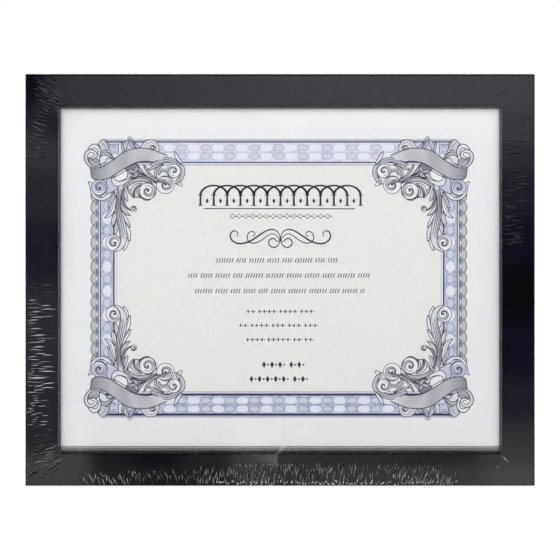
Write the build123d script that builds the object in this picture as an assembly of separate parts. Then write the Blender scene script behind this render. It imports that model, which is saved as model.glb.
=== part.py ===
from build123d import *

import math
import os

# A picture frame for one letter-size certificate, still in the clear film that it is sold in.
# Four mitred mouldings hold glass, the printed sheet, a corrugated filler and a backing board.
# Six turn buttons keep the board in. The board carries two wire hangers and an easel leg set
# on the diagonal, so that the frame stands or hangs either way up.
#
# +X is to the right and +Z is up as seen from the front, and +Y is to the back. The origin is
# the middle of the lower edge's face, half way through the moulding. Lengths are in millimetres.

# Sheet, glass, filler and board
sheet_width = 279.4
sheet_height = 215.9
sheet_thickness = 0.2
glass_side_margin = 0.3  # glass past the sheet, at each side
glass_end_margin = 2.05  # and at the top and bottom
glass_thickness = 2.0
glass_arris = 0.3
board_thickness = 3.0
rebate_play = 0.75  # all round the glass, the filler and the board
stack_play = 0.1  # the board's back lies this far inside the moulding's back

# Corrugated filler
filler_thickness = 3.0
liner_thickness = 0.3
medium_thickness = 0.3
flute_pitch = 6.4
flute_slope = 1.1  # run of one sloping wall of a flute

# Moulding
face_width = 20.0
lip_depth = 4.5
lip_overlap = 4.2  # how far the sight edge reaches past the rebate's wall
wall_draft = 0.6  # slope of the lip's inner wall
front_arris = 1.0
sight_arris = 0.5
back_arris = 0.5

# V-nails across the mitres
nail_wing = 4.2
nail_gauge = 0.5
nail_depth = 7.0
nail_outer_setback = 4.6
nail_inner_setback = 10.0

# Film
film_thickness = 0.15
film_hem = 5.0  # how far the film returns onto the back

# Turn buttons and their screws
button_gauge = 0.8
button_gap = 0.1  # under the button, to the moulding's back
button_heel = 4.5
button_reach = 12.0  # screw to tip
button_tip = 3.2
button_lip = 2.6  # length of the turned-up tip
button_lip_rise = 0.9
button_rib = 0.9
button_spacing = 160.0
screw_setback = 10.5  # from the moulding's outer face
screw_radius = 1.5
screw_length = 8.0
screw_point = 2.2
screw_tip_radius = 0.2
screw_head_radius = 2.9
screw_head_height = 1.7
screw_head_arris = 0.9
screw_cross_width = 0.7
screw_cross_length = 3.2
screw_cross_depth = 0.8
pivot_clearance = 0.08

# Easel leg and its hinge
leg_thickness = 2.5
leg_gap = 0.5
leg_top_width = 46.0
leg_foot_width = 40.0
foot_setback = 10.9  # foot's point to the lower edge, and to the edge that is lower in portrait
leg_corner = 5.0
leg_shoulder = 3.0
hinge_drop = 84.3  # top edge to the hinge pin
open_angle = 35.0
leaf_gauge = 0.8
leaf_length = 19.0
leaf_width = 32.0
leaf_corner = 2.5
knuckle_lift = 0.3
knuckle_gap = 0.25
knuckle_middle = 11.0
pin_clearance = 0.05
heel_clearance = 0.12
leg_end_gap = 0.6
rivet_radius = 1.4
rivet_head_radius = 2.7
rivet_head_height = 0.8
rivet_spacing = 18.0
rivet_setback = 11.5

# Wire hangers
hanger_inset = 22.0  # ring's bar to the board's edge
wire_radius = 0.8
ring_base = 15.0
ring_height = 13.0
ring_corner = 2.2
ring_corner_chords = 5  # each corner is bent in this many short chords
ring_rest_angle = 10.0
strap_gauge = 0.6
strap_width = 8.0
strap_length = 11.0
strap_corner = 2.0
strap_rivet_setback = 6.5
strap_rivet_head = 2.1
wire_clearance = 0.1

overrun = 1.0  # how far a cutting tool passes the face that it cuts
fastener_flats = 16  # screws and rivets are drawn with this many flats round them
wire_flats = 12  # and the hangers' wire with this many

# Places that follow from the sizes
glass_width = sheet_width + 2 * glass_side_margin
glass_height = sheet_height + 2 * glass_end_margin
sight_width = face_width + wall_draft
rebate_wall = sight_width - lip_overlap
rail_depth = (
    lip_depth + glass_thickness + sheet_thickness + filler_thickness + board_thickness + stack_play
)
outer_width = glass_width + 2 * (rebate_play + rebate_wall)
outer_height = glass_height + 2 * (rebate_play + rebate_wall)
rail_front = -rail_depth / 2
rail_back = rail_depth / 2
middle_height = film_thickness + outer_height / 2
sheet_rise = glass_height / 2 + rebate_play - sheet_height / 2  # slid up against the top moulding
glass_front = rail_front + lip_depth
sheet_front = glass_front + glass_thickness
filler_front = sheet_front + sheet_thickness
board_front = filler_front + filler_thickness
board_back = board_front + board_thickness
knuckle_radius = (leg_gap + leg_thickness + leaf_gauge - knuckle_lift) / 2
pin_radius = knuckle_radius - leaf_gauge - pin_clearance
pin_level = knuckle_radius + knuckle_lift  # above the board's back
hinge_setback = outer_height - hinge_drop
leg_length = (hinge_setback - foot_setback) * math.sqrt(2)
hinge_x = outer_width / 2 - hinge_setback
hinge_z = film_thickness + hinge_setback
wire_level = wire_radius + wire_clearance + strap_gauge
button_level = rail_back + button_gap


def back_plane(x, z, towards, level=board_back):
    """A plane on the back of the frame: its Y runs in the direction (x, z) given, its Z backwards."""
    along = Vector(towards[0], 0, towards[1]).normalized()
    return Plane(origin=(x, level, z), x_dir=along.cross(Vector(0, 1, 0)), z_dir=(0, 1, 0))


def slab(width, height, thickness, front, rise=0):
    """An upright panel with its front face at the depth given, centred or risen in the frame."""
    panel = Box(width, thickness, height)
    return Pos(0, front + thickness / 2, middle_height + rise) * panel


def across(profile, width):
    """A side profile, drawn as (Y, Z) in a back plane, extruded evenly to both sides along X."""
    return extrude(Plane.YZ * profile, amount=width / 2, both=True)


def flat_sided(*stations):
    """A small turned piece about +Z, drawn with flats through its (radius, height) stations."""
    sections = [Pos(0, 0, height) * RegularPolygon(radius, fastener_flats) for radius, height in stations]
    return loft(sections, ruled=True)


# Moulding


def moulding_profile():
    """Section of the moulding as (depth from the front, distance from the outer face)."""
    outline = Polyline(
        (0, 0),
        (0, face_width),
        (lip_depth, sight_width),
        (lip_depth, rebate_wall),
        (rail_depth, rebate_wall),
        (rail_depth, 0),
        close=True,
    )
    section = make_face(outline)
    corners = section.vertices()
    outer_front = corners.sort_by(lambda v: v.X + v.Y)[0]
    section = fillet(outer_front, front_arris)
    sight_front = section.vertices().sort_by(lambda v: v.X - v.Y)[0]
    section = fillet(sight_front, sight_arris)
    outer_back = section.vertices().sort_by(lambda v: v.X - v.Y)[-1]
    return fillet(outer_back, back_arris)


def rail(length, turn, centre):
    """One mitred moulding, made as the lower one and turned to its place about +Y."""
    bar = extrude(Plane.YZ * moulding_profile(), amount=length / 2, both=True)
    reach = sight_width + overrun
    half = length / 2
    mitres = make_face(
        Polyline((-half, 0), (half, 0), (half - reach, reach), (reach - half, reach), close=True)
    )
    keep = extrude(Plane.XZ * mitres, amount=-rail_depth)
    piece = bar & keep
    return Pos(*centre) * Rot(0, turn, 0) * piece


def v_nail(corner_x, corner_z, setback):
    """One V-nail: two wings that run from the mitre into the two mouldings, flush with the back."""
    inward_x = -math.copysign(1, corner_x)
    inward_z = -math.copysign(1, corner_z)
    flat_wing = Box(nail_wing, nail_depth, nail_gauge)
    upright_wing = Box(nail_gauge, nail_depth, nail_wing)
    half_wing = (nail_wing - nail_gauge) / 2
    shape = Pos(inward_x * half_wing, 0, 0) * flat_wing + Pos(0, 0, inward_z * half_wing) * upright_wing
    place_x = corner_x * outer_width / 2 + inward_x * setback
    place_z = middle_height + corner_z * outer_height / 2 + inward_z * setback
    return Pos(place_x, rail_back - nail_depth / 2, place_z) * shape


def corner_nails():
    """Two V-nails in each of the four mitres."""
    return [
        v_nail(corner_x, corner_z, setback)
        for corner_x in (-1, 1)
        for corner_z in (-1, 1)
        for setback in (nail_outer_setback, nail_inner_setback)
    ]


# Turn buttons


def turn_button():
    """Stamped steel button about its screw's axis, with the tongue along +Y and the underside at 0."""
    outline = make_hull(
        (Circle(button_heel) + Pos(0, button_reach - button_tip) * Circle(button_tip)).edges()
    )
    bend = button_reach - button_lip
    side = make_face(
        Polyline(
            (-button_heel, 0),
            (bend, 0),
            (button_reach, button_lip_rise),
            (button_reach, button_lip_rise + button_gauge),
            (bend, button_gauge),
            (-button_heel, button_gauge),
            close=True,
        )
    )
    stamping = across(side, 2 * button_heel)
    blank = extrude(outline, amount=button_lip_rise + button_gauge + overrun)
    rib_start = screw_head_radius + button_rib
    rib_end = bend - button_rib
    rib = Pos(0, (rib_start + rib_end) / 2, button_gauge) * Rot(90, 0, 0) * Cylinder(
        button_rib, rib_end - rib_start
    )
    for end, turn in ((rib_start, 90), (rib_end, -90)):
        nose = Cone(button_rib, 0, button_rib, align=(Align.CENTER, Align.CENTER, Align.MIN))
        rib += Pos(0, end, button_gauge) * Rot(turn, 0, 0) * nose
    above = Pos(0, 0, button_gauge + overrun) * Box(4 * button_reach, 4 * button_reach, 2 * overrun)
    hole = Cylinder(screw_radius + pivot_clearance, 2 * (button_gauge + overrun))
    return (stamping & blank) + (rib & above) - hole


def button_screw():
    """Pan-head screw about +Z. Its head clears a button on the face at 0, and its shank goes down."""
    seat = button_gauge + pivot_clearance
    crown = seat + screw_head_height
    shank = flat_sided(
        (screw_tip_radius, -screw_length), (screw_radius, screw_point - screw_length), (screw_radius, seat)
    )
    head = flat_sided(
        (screw_head_radius, seat),
        (screw_head_radius, crown - screw_head_arris),
        (screw_head_radius - screw_head_arris, crown),
    )
    cross = Box(screw_cross_length, screw_cross_width, 2 * screw_cross_depth)
    cross += Box(screw_cross_width, screw_cross_length, 2 * screw_cross_depth)
    return shank + head - Pos(0, 0, crown) * cross


def button_places():
    """Name, screw position and direction of the tongue for each turn button."""
    side = outer_width / 2 - screw_setback
    rise = outer_height / 2 - screw_setback
    half = button_spacing / 2
    return {
        "top_left": (-half, middle_height + rise, (0, -1)),
        "top_right": (half, middle_height + rise, (0, -1)),
        "bottom_left": (-half, middle_height - rise, (0, 1)),
        "bottom_right": (half, middle_height - rise, (0, 1)),
        "left": (-side, middle_height, (1, 0)),
        "right": (side, middle_height, (-1, 0)),
    }


# Panels behind the lip


def glass_pane():
    """Float glass with its edges seamed."""
    pane = slab(glass_width, glass_height, glass_thickness, glass_front)
    rim = pane.faces().sort_by(Axis.Y)[0].edges() + pane.faces().sort_by(Axis.Y)[-1].edges()
    return chamfer(rim, glass_arris)


def filler_pad():
    """Corrugated board: two liners and a fluted medium, with the flutes upright."""
    room = filler_thickness - 2 * liner_thickness
    rise = room - medium_thickness
    slant = flute_slope * room / rise
    half_base = (flute_pitch / 2 + slant - medium_thickness) / 2
    half_crest = half_base - flute_slope
    flute = make_face(
        Polyline((-half_base, 0), (half_base, 0), (half_crest, rise), (-half_crest, rise), close=True)
    )
    count = int(glass_width / flute_pitch) - 1
    front_row = [
        Pos((i - (count - 1) / 2) * flute_pitch, -room / 2) * flute for i in range(count)
    ]
    back_row = [
        Pos((i - count / 2) * flute_pitch, room / 2) * Rot(0, 0, 180) * flute for i in range(count + 1)
    ]
    section = Rectangle(glass_width, filler_thickness) - front_row - back_row
    pad = extrude(section, amount=glass_height / 2, both=True)
    return Pos(0, filler_front + filler_thickness / 2, middle_height) * pad


# Easel hinge and leg, in a back plane whose Y runs down the leg


def knuckle(centre_x, width):
    """One rolled knuckle about the pin."""
    ring = Circle(knuckle_radius) - Circle(knuckle_radius - leaf_gauge)
    return Pos(centre_x, 0, 0) * across(Pos(0, pin_level) * ring, width)


def rivet(shank_length, head_radius=rivet_head_radius):
    """Coned-head rivet: the head stands on the face at 0 and the shank goes down."""
    head = flat_sided((head_radius, 0), (rivet_radius, rivet_head_height))
    return head + flat_sided((rivet_radius, -shank_length), (rivet_radius, 0))


def rivet_pair(setback, level, shank_length):
    """Two rivets side by side across a hinge leaf."""
    return [
        Pos(side * rivet_spacing / 2, setback, level) * rivet(shank_length) for side in (-1, 1)
    ]


def leaf_plate(start, end, level):
    """The flat of a hinge leaf from one Y to another, with rounded corners at its far end."""
    plate = Pos(0, (start + end) / 2, level + leaf_gauge / 2) * Box(leaf_width, abs(end - start), leaf_gauge)
    far = end
    corners = plate.edges().filter_by(Axis.Z).sort_by(lambda e: abs(e.center().Y - far))[:2]
    return fillet(corners, leaf_corner)


def board_leaf():
    """Hinge leaf on the board, with the middle knuckle."""
    root = -(knuckle_radius + knuckle_gap)
    neck = Pos(0, root / 2, leaf_gauge / 2) * Box(knuckle_middle, -root, leaf_gauge)
    plate = leaf_plate(root, -leaf_length, 0)
    bore = Pos(0, 0, pin_level) * Rot(0, 90, 0) * Cylinder(knuckle_radius - leaf_gauge, leaf_width)
    return plate + (neck - bore) + knuckle(0, knuckle_middle)


def leg_leaf():
    """Hinge leaf on the leg: two outer knuckles, each with a heel that stops the leg when open."""
    level = leg_gap + leg_thickness
    turn = math.radians(open_angle)
    under_heel = knuckle_radius - leaf_gauge
    over_board = pin_level - leaf_gauge
    heel = (under_heel * math.cos(turn) + over_board) / math.sin(turn) - heel_clearance
    root = knuckle_radius + knuckle_gap
    arm = (leaf_width - knuckle_middle) / 2 - knuckle_gap
    offset = (leaf_width - arm) / 2
    leaf = leaf_plate(root, leaf_length, level)
    for side in (-1, 1):
        leaf += Pos(side * offset, (root - heel) / 2, level + leaf_gauge / 2) * Box(
            arm, root + heel, leaf_gauge
        )
        leaf += knuckle(side * offset, arm)
    return leaf


def lean_tangent():
    """Tangent of the angle that the frame leans back at when it stands on the open leg."""
    turn = math.radians(open_angle)
    foot_height = hinge_setback - leg_length * math.cos(turn) * math.cos(math.pi / 4)
    foot_depth = pin_level - stack_play + leg_length * math.sin(turn)
    return foot_height / foot_depth


def leg():
    """Hardboard strut. Its foot has two edges, each of which lies flat on the table one way up."""
    turn = math.radians(open_angle)
    foot_tangent = math.cos(turn) + math.sqrt(2) * math.sin(turn) * lean_tangent()
    top = knuckle_radius + leg_end_gap
    half_top = leg_top_width / 2
    half_foot = leg_foot_width / 2
    shoulder = leg_length - half_foot / foot_tangent
    outline = make_face(
        Polyline(
            (-half_top, top),
            (half_top, top),
            (half_foot, shoulder),
            (0, leg_length),
            (-half_foot, shoulder),
            close=True,
        )
    )
    outline = fillet(outline.vertices().sort_by(Axis.Y)[:2], leg_corner)
    shoulders = outline.vertices().sort_by(lambda v: abs(v.Y - shoulder))[:2]
    outline = fillet(shoulders, leg_shoulder)
    return Pos(0, 0, leg_gap) * extrude(outline, amount=leg_thickness)


# Wire hangers, in a back plane whose Y runs from the ring's bar down the strap


def hanger_ring():
    """Closed triangle of round wire, hanging over its strap and clear of it."""
    half = ring_base / 2
    outline = FilletPolyline((-half, 0), (half, 0), (0, ring_height), radius=ring_corner, close=True)
    points = []
    for side in outline.wire().order_edges():
        steps = ring_corner_chords if side.geom_type == GeomType.CIRCLE else 1
        points += [side @ (step / steps) for step in range(steps)]
    first, second = points[:2]
    start = Plane(origin=(first + second) / 2, z_dir=second - first)
    path = Polyline((first + second) / 2, *points[1:], first, (first + second) / 2)
    section = start * RegularPolygon(wire_radius, wire_flats)
    wire = sweep(section, path=path, transition=Transition.RIGHT)
    return Pos(0, 0, wire_level) * Rot(ring_rest_angle, 0, 0) * wire


def hanger_strap():
    """Folded steel strip that wraps the ring's bar."""
    eye = Pos(0, wire_level) * Circle(wire_radius + wire_clearance + strap_gauge)
    layers = Pos(strap_length / 2, strap_gauge) * Rectangle(strap_length, 2 * strap_gauge)
    bore = Pos(0, wire_level) * Circle(wire_radius + wire_clearance)
    strap = across(eye + layers - bore, strap_width)
    ends = strap.edges().filter_by(Axis.Z).sort_by(Axis.Y)[-2:]
    return fillet(ends, strap_corner)


# Film


def shrink_film():
    """Clear film drawn tight over the front and the four sides, with a short hem on the back."""
    across_in = outer_width + 2 * film_thickness
    high_in = outer_height + 2 * film_thickness
    deep_in = rail_depth + 2 * film_thickness
    skin = Box(across_in, deep_in, high_in)
    skin = fillet(skin.faces().sort_by(Axis.Y)[0].edges(), front_arris + film_thickness)
    inside = Box(outer_width, rail_depth, outer_height)
    inside = fillet(inside.faces().sort_by(Axis.Y)[0].edges(), front_arris)
    window = Pos(0, rail_depth / 2 + overrun / 2, 0) * Box(
        outer_width - 2 * film_hem, 2 * film_thickness + overrun, outer_height - 2 * film_hem
    )
    return Pos(0, 0, middle_height) * (skin - inside - window)


def build():
    """Every node of the frame by name."""
    nodes = {}
    below = film_thickness
    above = film_thickness + outer_height
    half = outer_width / 2
    nodes["rail_bottom"] = rail(outer_width, 0, (0, rail_front, below))
    nodes["rail_left"] = rail(outer_height, 90, (-half, rail_front, middle_height))
    nodes["rail_top"] = rail(outer_width, 180, (0, rail_front, above))
    nodes["rail_right"] = rail(outer_height, 270, (half, rail_front, middle_height))

    nails = corner_nails()
    nodes["corner_v_nails"] = Compound(children=nails)
    button_screws = []
    for name, (x, z, towards) in button_places().items():
        place = back_plane(x, z, towards, button_level)
        nodes["turn_button_" + name] = place * turn_button()
        button_screws.append(place * button_screw())
    nodes["turn_button_screws"] = Compound(children=button_screws)
    for side in ("bottom", "left", "top", "right"):
        nodes["rail_" + side] = nodes["rail_" + side] - nails - button_screws

    hinge = back_plane(hinge_x, hinge_z, (1, -1))
    board_rivets = [hinge * r for r in rivet_pair(-rivet_setback, leaf_gauge, leaf_gauge + board_thickness)]
    leg_level = leg_gap + leg_thickness + leaf_gauge
    leg_rivets = [hinge * r for r in rivet_pair(rivet_setback, leg_level, leaf_gauge + leg_thickness)]
    nodes["easel_leg"] = hinge * leg() - leg_rivets
    nodes["hinge_leaf_leg"] = hinge * leg_leaf() - leg_rivets
    nodes["hinge_leaf_board"] = hinge * board_leaf() - board_rivets
    nodes["hinge_pin"] = hinge * (Pos(0, 0, pin_level) * Rot(0, 90, 0) * Cylinder(pin_radius, leaf_width))
    nodes["hinge_rivets_leg"] = Compound(children=leg_rivets)
    nodes["hinge_rivets_board"] = Compound(children=board_rivets)

    hanger_places = {
        "top": back_plane(0, middle_height + glass_height / 2 - hanger_inset, (0, -1)),
        "side": back_plane(-glass_width / 2 + hanger_inset, middle_height, (1, 0)),
    }
    strap_rivets = []
    for name, place in hanger_places.items():
        fixing = place * (
            Pos(0, strap_rivet_setback, 2 * strap_gauge)
            * rivet(2 * strap_gauge + board_thickness, strap_rivet_head)
        )
        nodes["hanger_ring_" + name] = place * hanger_ring()
        nodes["hanger_strap_" + name] = place * hanger_strap() - fixing
        strap_rivets.append(fixing)
    nodes["hanger_rivets"] = Compound(children=strap_rivets)

    board = slab(glass_width, glass_height, board_thickness, board_front)
    nodes["backing_board"] = board - board_rivets - strap_rivets
    nodes["filler_pad"] = filler_pad()
    nodes["certificate_sheet"] = slab(
        sheet_width, sheet_height, sheet_thickness, sheet_front, sheet_rise
    )
    nodes["glass_pane"] = glass_pane()
    nodes["shrink_film"] = shrink_film()
    return nodes


os.makedirs("parts", exist_ok=True)
for node_name, shape in build().items():
    export_step(shape, os.path.join("parts", node_name + ".step"))
print(f"outside {outer_width:.1f} x {outer_height:.1f} x {rail_depth:.1f} mm")
print(f"leans back {math.degrees(math.atan(lean_tangent())):.1f} degrees on the open leg")
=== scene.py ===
"""Certificate frame: how a ready-made document frame looks, still in its clear shrink film.

Sizes are in millimetres until metres() turns them, in the frame that the CAD uses: X to the right, Y to
the back and Z up, with the frame's lower edge on Z = 0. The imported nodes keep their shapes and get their
finishes here. The sheet and the film are made here, because paper needs ink and film needs creases.
"""

from __future__ import annotations

import logging
import math
import random
from dataclasses import dataclass, field
from enum import Enum
from typing import Callable, Sequence

import bmesh
import bpy
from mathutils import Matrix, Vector, noise

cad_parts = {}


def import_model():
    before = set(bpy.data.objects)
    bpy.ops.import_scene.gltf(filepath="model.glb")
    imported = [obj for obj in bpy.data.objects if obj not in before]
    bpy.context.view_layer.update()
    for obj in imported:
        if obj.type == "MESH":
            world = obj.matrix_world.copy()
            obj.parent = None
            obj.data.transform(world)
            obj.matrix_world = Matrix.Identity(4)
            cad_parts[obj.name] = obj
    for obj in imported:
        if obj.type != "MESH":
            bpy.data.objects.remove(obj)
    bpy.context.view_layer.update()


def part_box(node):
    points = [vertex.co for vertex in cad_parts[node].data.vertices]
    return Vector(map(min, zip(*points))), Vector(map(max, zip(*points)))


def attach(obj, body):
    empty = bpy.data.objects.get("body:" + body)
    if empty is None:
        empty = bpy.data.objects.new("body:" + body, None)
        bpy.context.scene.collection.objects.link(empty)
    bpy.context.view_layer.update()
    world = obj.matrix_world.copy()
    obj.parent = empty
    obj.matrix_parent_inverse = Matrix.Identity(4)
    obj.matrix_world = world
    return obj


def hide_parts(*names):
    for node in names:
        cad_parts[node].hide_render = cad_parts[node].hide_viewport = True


LOG = logging.getLogger("certificate_frame")

Point = tuple[float, float]
Colour = tuple[float, float, float, float]
Path = Sequence[Point]
Place = tuple[float, float, float]
Rows = tuple[tuple[float, float, float], ...]
Tree = bpy.types.NodeTree
Node = bpy.types.Node

MILLIMETRE = 0.001
FRAME_BODY = "frame"
WHITE = (1.0, 1.0, 1.0, 1.0)
# size of a pixel of the photograph on the frame's front, and the column of the frame's middle
PIXEL = 0.6189
CENTRE_U = 279.55
# places that are nearer to each other than this, in metres, count as one
NEAR = 1e-4


def metres(length: float) -> float:
    """Turn millimetres into metres."""
    return length * MILLIMETRE


def per_metre(length: float) -> float:
    """Turn the size of one grain, in millimetres, into a texture's scale on metre coordinates."""
    return 1.0 / metres(length)


def held(value: float) -> float:
    """Hold a share between zero and one."""
    return min(max(value, 0.0), 1.0)


def linear(colour: str) -> Colour:
    """Turn an sRGB hex colour into the linear values that Blender takes.

    Args:
        colour: Six hex digits after a hash.

    Returns:
        Linear red, green and blue, and an alpha of one.
    """
    channels = [int(colour[place:place + 2], 16) / 255.0 for place in (1, 3, 5)]
    low = [value / 12.92 if value <= 0.04045 else ((value + 0.055) / 1.055) ** 2.4 for value in channels]
    return (low[0], low[1], low[2], 1.0)


def blend_colours(first: Colour, second: Colour, share: float) -> Colour:
    """Mix two linear colours, all of the first at share zero and all of the second at one."""
    return tuple(a + (b - a) * share for a, b in zip(first, second))


def add_node(
    tree: Tree,
    kind: str,
    sockets: dict[str | int, object] | None = None,
    ramp: Sequence[tuple[float, str]] = (),
    **settings: object,
) -> Node:
    """Add a shader node with its settings, and set or link its sockets.

    Args:
        tree: Node tree that gets the node.
        kind: Type name of the node, after the words "ShaderNode".
        sockets: Input by name or place, and its value, or the output or node that feeds it. A node feeds
            with its first output.
        ramp: Places on a colour ramp, each with its hex colour.
        **settings: Properties of the node itself.

    Returns:
        The new node.
    """
    node = tree.nodes.new("ShaderNode" + kind)
    for name, value in settings.items():
        setattr(node, name, value)
    for key, value in (sockets or {}).items():
        if isinstance(value, Node):
            value = value.outputs[0]
        if isinstance(value, bpy.types.NodeSocket):
            tree.links.new(value, node.inputs[key])
        else:
            node.inputs[key].default_value = value
    for _ in range(len(ramp) - 2):
        node.color_ramp.elements.new(0.5)
    for place, (position, colour) in enumerate(ramp):
        node.color_ramp.elements[place].position = position
        node.color_ramp.elements[place].color = linear(colour)
    return node


# Finishes


@dataclass(frozen=True)
class Finish:
    """A material of the real thing, with the way that its surface was made."""

    name: str

    def material(self) -> bpy.types.Material:
        """Make the material once, and give the same one back after that.

        Returns:
            The material of this name.
        """
        known = bpy.data.materials.get(self.name)
        if known:
            return known
        material = bpy.data.materials.new(self.name)
        material.use_nodes = True
        tree = material.node_tree
        tree.nodes.clear()
        add_node(tree, "OutputMaterial", {"Surface": self.surface(tree)})
        return material

    def surface(self, tree: Tree) -> Node:
        """Build the shader, which each finish does in its own way.

        Args:
            tree: Material's node tree.

        Returns:
            Node with the shader.
        """
        raise NotImplementedError

    def dress(self, *nodes: str) -> None:
        """Put the finish in every material slot of the named CAD nodes.

        Args:
            *nodes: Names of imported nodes.
        """
        for node in nodes:
            mesh = bpy.data.objects[node].data
            if not mesh.materials:
                mesh.materials.append(self.material())
            for place in range(len(mesh.materials)):
                mesh.materials[place] = self.material()


def surface_place(tree: Tree, stretch: tuple[float, float, float] = (1.0, 1.0, 1.0)) -> Node:
    """Give a pattern its place on the object, stretched along an axis where the grain runs.

    Args:
        tree: Material's node tree.
        stretch: Scale of the pattern along X, Y and Z.

    Returns:
        Node with the stretched object coordinates.
    """
    place = add_node(tree, "TexCoord").outputs["Object"]
    return add_node(tree, "Mapping", {"Vector": place, "Scale": stretch})


def mirror_share(tree: Tree, straight: float, normal: Node) -> Node:
    """Give the share of light that a clear sheet mirrors, the same from both of its sides.

    Args:
        tree: Material's node tree.
        straight: Share that is mirrored when looked at straight.
        normal: Normal of the rippled surface.

    Returns:
        Node with the share, which grows to one at a grazing look.
    """
    graze = add_node(tree, "LayerWeight", {"Blend": 0.5, "Normal": normal}).outputs["Facing"]
    steep = add_node(tree, "Math", {0: graze, 1: 5.0}, operation="POWER")
    return add_node(tree, "MapRange", {"Value": steep, "To Min": straight, "To Max": 1.0})


@dataclass(frozen=True)
class SatinMoulding(Finish):
    """Extruded polystyrene moulding with a black satin face: deep black, with a soft even gloss."""

    name: str = "black_satin_polystyrene"
    blacks: tuple[tuple[float, str], ...] = ((0.3, "#050506"), (0.7, "#080809"))
    cloud: float = 18.0
    grit: float = 0.35

    def surface(self, tree: Tree) -> Node:
        """Mix a dark body, a gloss that is a little uneven and a fine satin grit.

        Args:
            tree: Material's node tree.

        Returns:
            Node with the shader.
        """
        place = surface_place(tree)
        cloud = add_node(tree, "TexNoise", {"Vector": place, "Scale": per_metre(self.cloud), "Detail": 3.0})
        grit = add_node(tree, "TexNoise", {"Vector": place, "Scale": per_metre(self.grit), "Detail": 2.0})
        rough = add_node(
            tree,
            "MapRange",
            {"Value": cloud, "From Min": 0.3, "From Max": 0.7, "To Min": 0.24, "To Max": 0.3},
        )
        relief = {"Height": grit, "Distance": metres(0.01), "Strength": 0.35}
        return add_node(
            tree,
            "BsdfPrincipled",
            {
                "Base Color": add_node(tree, "ValToRGB", {"Fac": cloud}, self.blacks),
                "Roughness": rough,
                "Normal": add_node(tree, "Bump", relief),
                "Specular IOR Level": 0.2,
            },
        )


@dataclass(frozen=True)
class ClearSheet(Finish):
    """Film or glass, of which only the thin gloss is seen, with a slight ripple in it."""

    ripple: float
    layers: float
    depth: float
    strength: float
    straight_share: float
    roughness: float

    def surface(self, tree: Tree) -> Node:
        """Lay a mirror share that grows toward the edge of sight over a clear sheet.

        Args:
            tree: Material's node tree.

        Returns:
            Node with the shader.
        """
        wave = add_node(
            tree,
            "TexNoise",
            {"Vector": surface_place(tree), "Scale": per_metre(self.ripple), "Detail": self.layers},
        )
        normal = add_node(
            tree, "Bump", {"Height": wave, "Distance": metres(self.depth), "Strength": self.strength}
        )
        share = mirror_share(tree, self.straight_share, normal)
        clear = add_node(tree, "BsdfTransparent", {"Color": linear("#fefefe")})
        gloss = add_node(
            tree, "BsdfGlossy", {"Color": linear("#ffffff"), "Roughness": self.roughness, "Normal": normal}
        )
        return add_node(tree, "MixShader", {0: share, 1: clear, 2: gloss})


@dataclass(frozen=True)
class FilmPaintedLight(Finish):
    """Shrink film folded on itself, with painted light: a white painted highlight on one flank, painted shade
    on the other.
    """

    name: str = "film_painted_light_and_shade"

    def surface(self, tree: Tree) -> Node:
        """Mix clear film, a white painted highlight and a painted shade by the shares that each crease
        carries.

        Args:
            tree: Material's node tree.

        Returns:
            Node with the shader.
        """
        painted_light_shares = add_node(tree, "Attribute", attribute_name="painted_light_shares")
        shares = add_node(tree, "SeparateColor", {"Color": painted_light_shares}).outputs
        # painted shade: the green share darkens whatever is seen through the film
        passed = add_node(tree, "Math", {0: 1.0, 1: shares["Green"]}, operation="SUBTRACT")
        clear = add_node(tree, "BsdfTransparent", {"Color": passed})
        # painted highlight: a diffuse white laid over the film by the red share
        painted_highlight = add_node(tree, "BsdfDiffuse", {"Color": linear("#eceef0")})
        return add_node(tree, "MixShader", {0: shares["Red"], 1: clear, 2: painted_highlight})


@dataclass(frozen=True)
class Paper(Finish):
    """Uncoated certificate paper: matt, pale, with a soft cloud of fibre."""

    name: str = "uncoated_paper"
    thin: str = "#e9eaeb"
    thick: str = "#f1f1f1"
    fibre: float = 1.1

    def surface(self, tree: Tree) -> Node:
        """Give a matt white with the paper's cloud, and a bump as fine as its fibre.

        Args:
            tree: Material's node tree.

        Returns:
            Node with the shader.
        """
        place = surface_place(tree)
        cloud = add_node(tree, "TexNoise", {"Vector": place, "Scale": per_metre(self.fibre), "Detail": 4.0})
        stops = ((0.35, self.thin), (0.65, self.thick))
        relief = {"Height": cloud, "Distance": metres(0.004), "Strength": 0.4}
        return add_node(
            tree,
            "BsdfPrincipled",
            {
                "Base Color": add_node(tree, "ValToRGB", {"Fac": cloud}, stops),
                "Roughness": 0.85,
                "Specular IOR Level": 0.25,
                "Normal": add_node(tree, "Bump", relief),
            },
        )


@dataclass(frozen=True)
class PrintedInk(Finish):
    """Offset ink on paper: each shape's own colour, broken a little by the paper's grain."""

    name: str = "offset_ink"
    fibre: float = 0.5

    def surface(self, tree: Tree) -> Node:
        """Give the plate's ink colour, thinner where the paper's fibre stands up.

        Args:
            tree: Material's node tree.

        Returns:
            Node with the shader.
        """
        place = surface_place(tree)
        fibre = add_node(tree, "TexNoise", {"Vector": place, "Scale": per_metre(self.fibre), "Detail": 2.0})
        ink = add_node(tree, "Attribute", attribute_name="ink")
        thin = add_node(
            tree, "MapRange", {"Value": fibre, "From Min": 0.35, "From Max": 0.7, "To Max": 0.09}
        )
        broken = add_node(tree, "Mix", {0: thin, 6: ink, 7: linear("#f0f0f0")}, data_type="RGBA")
        return add_node(
            tree,
            "BsdfPrincipled",
            {"Base Color": broken.outputs[2], "Roughness": 0.7, "Specular IOR Level": 0.3},
        )


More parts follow.
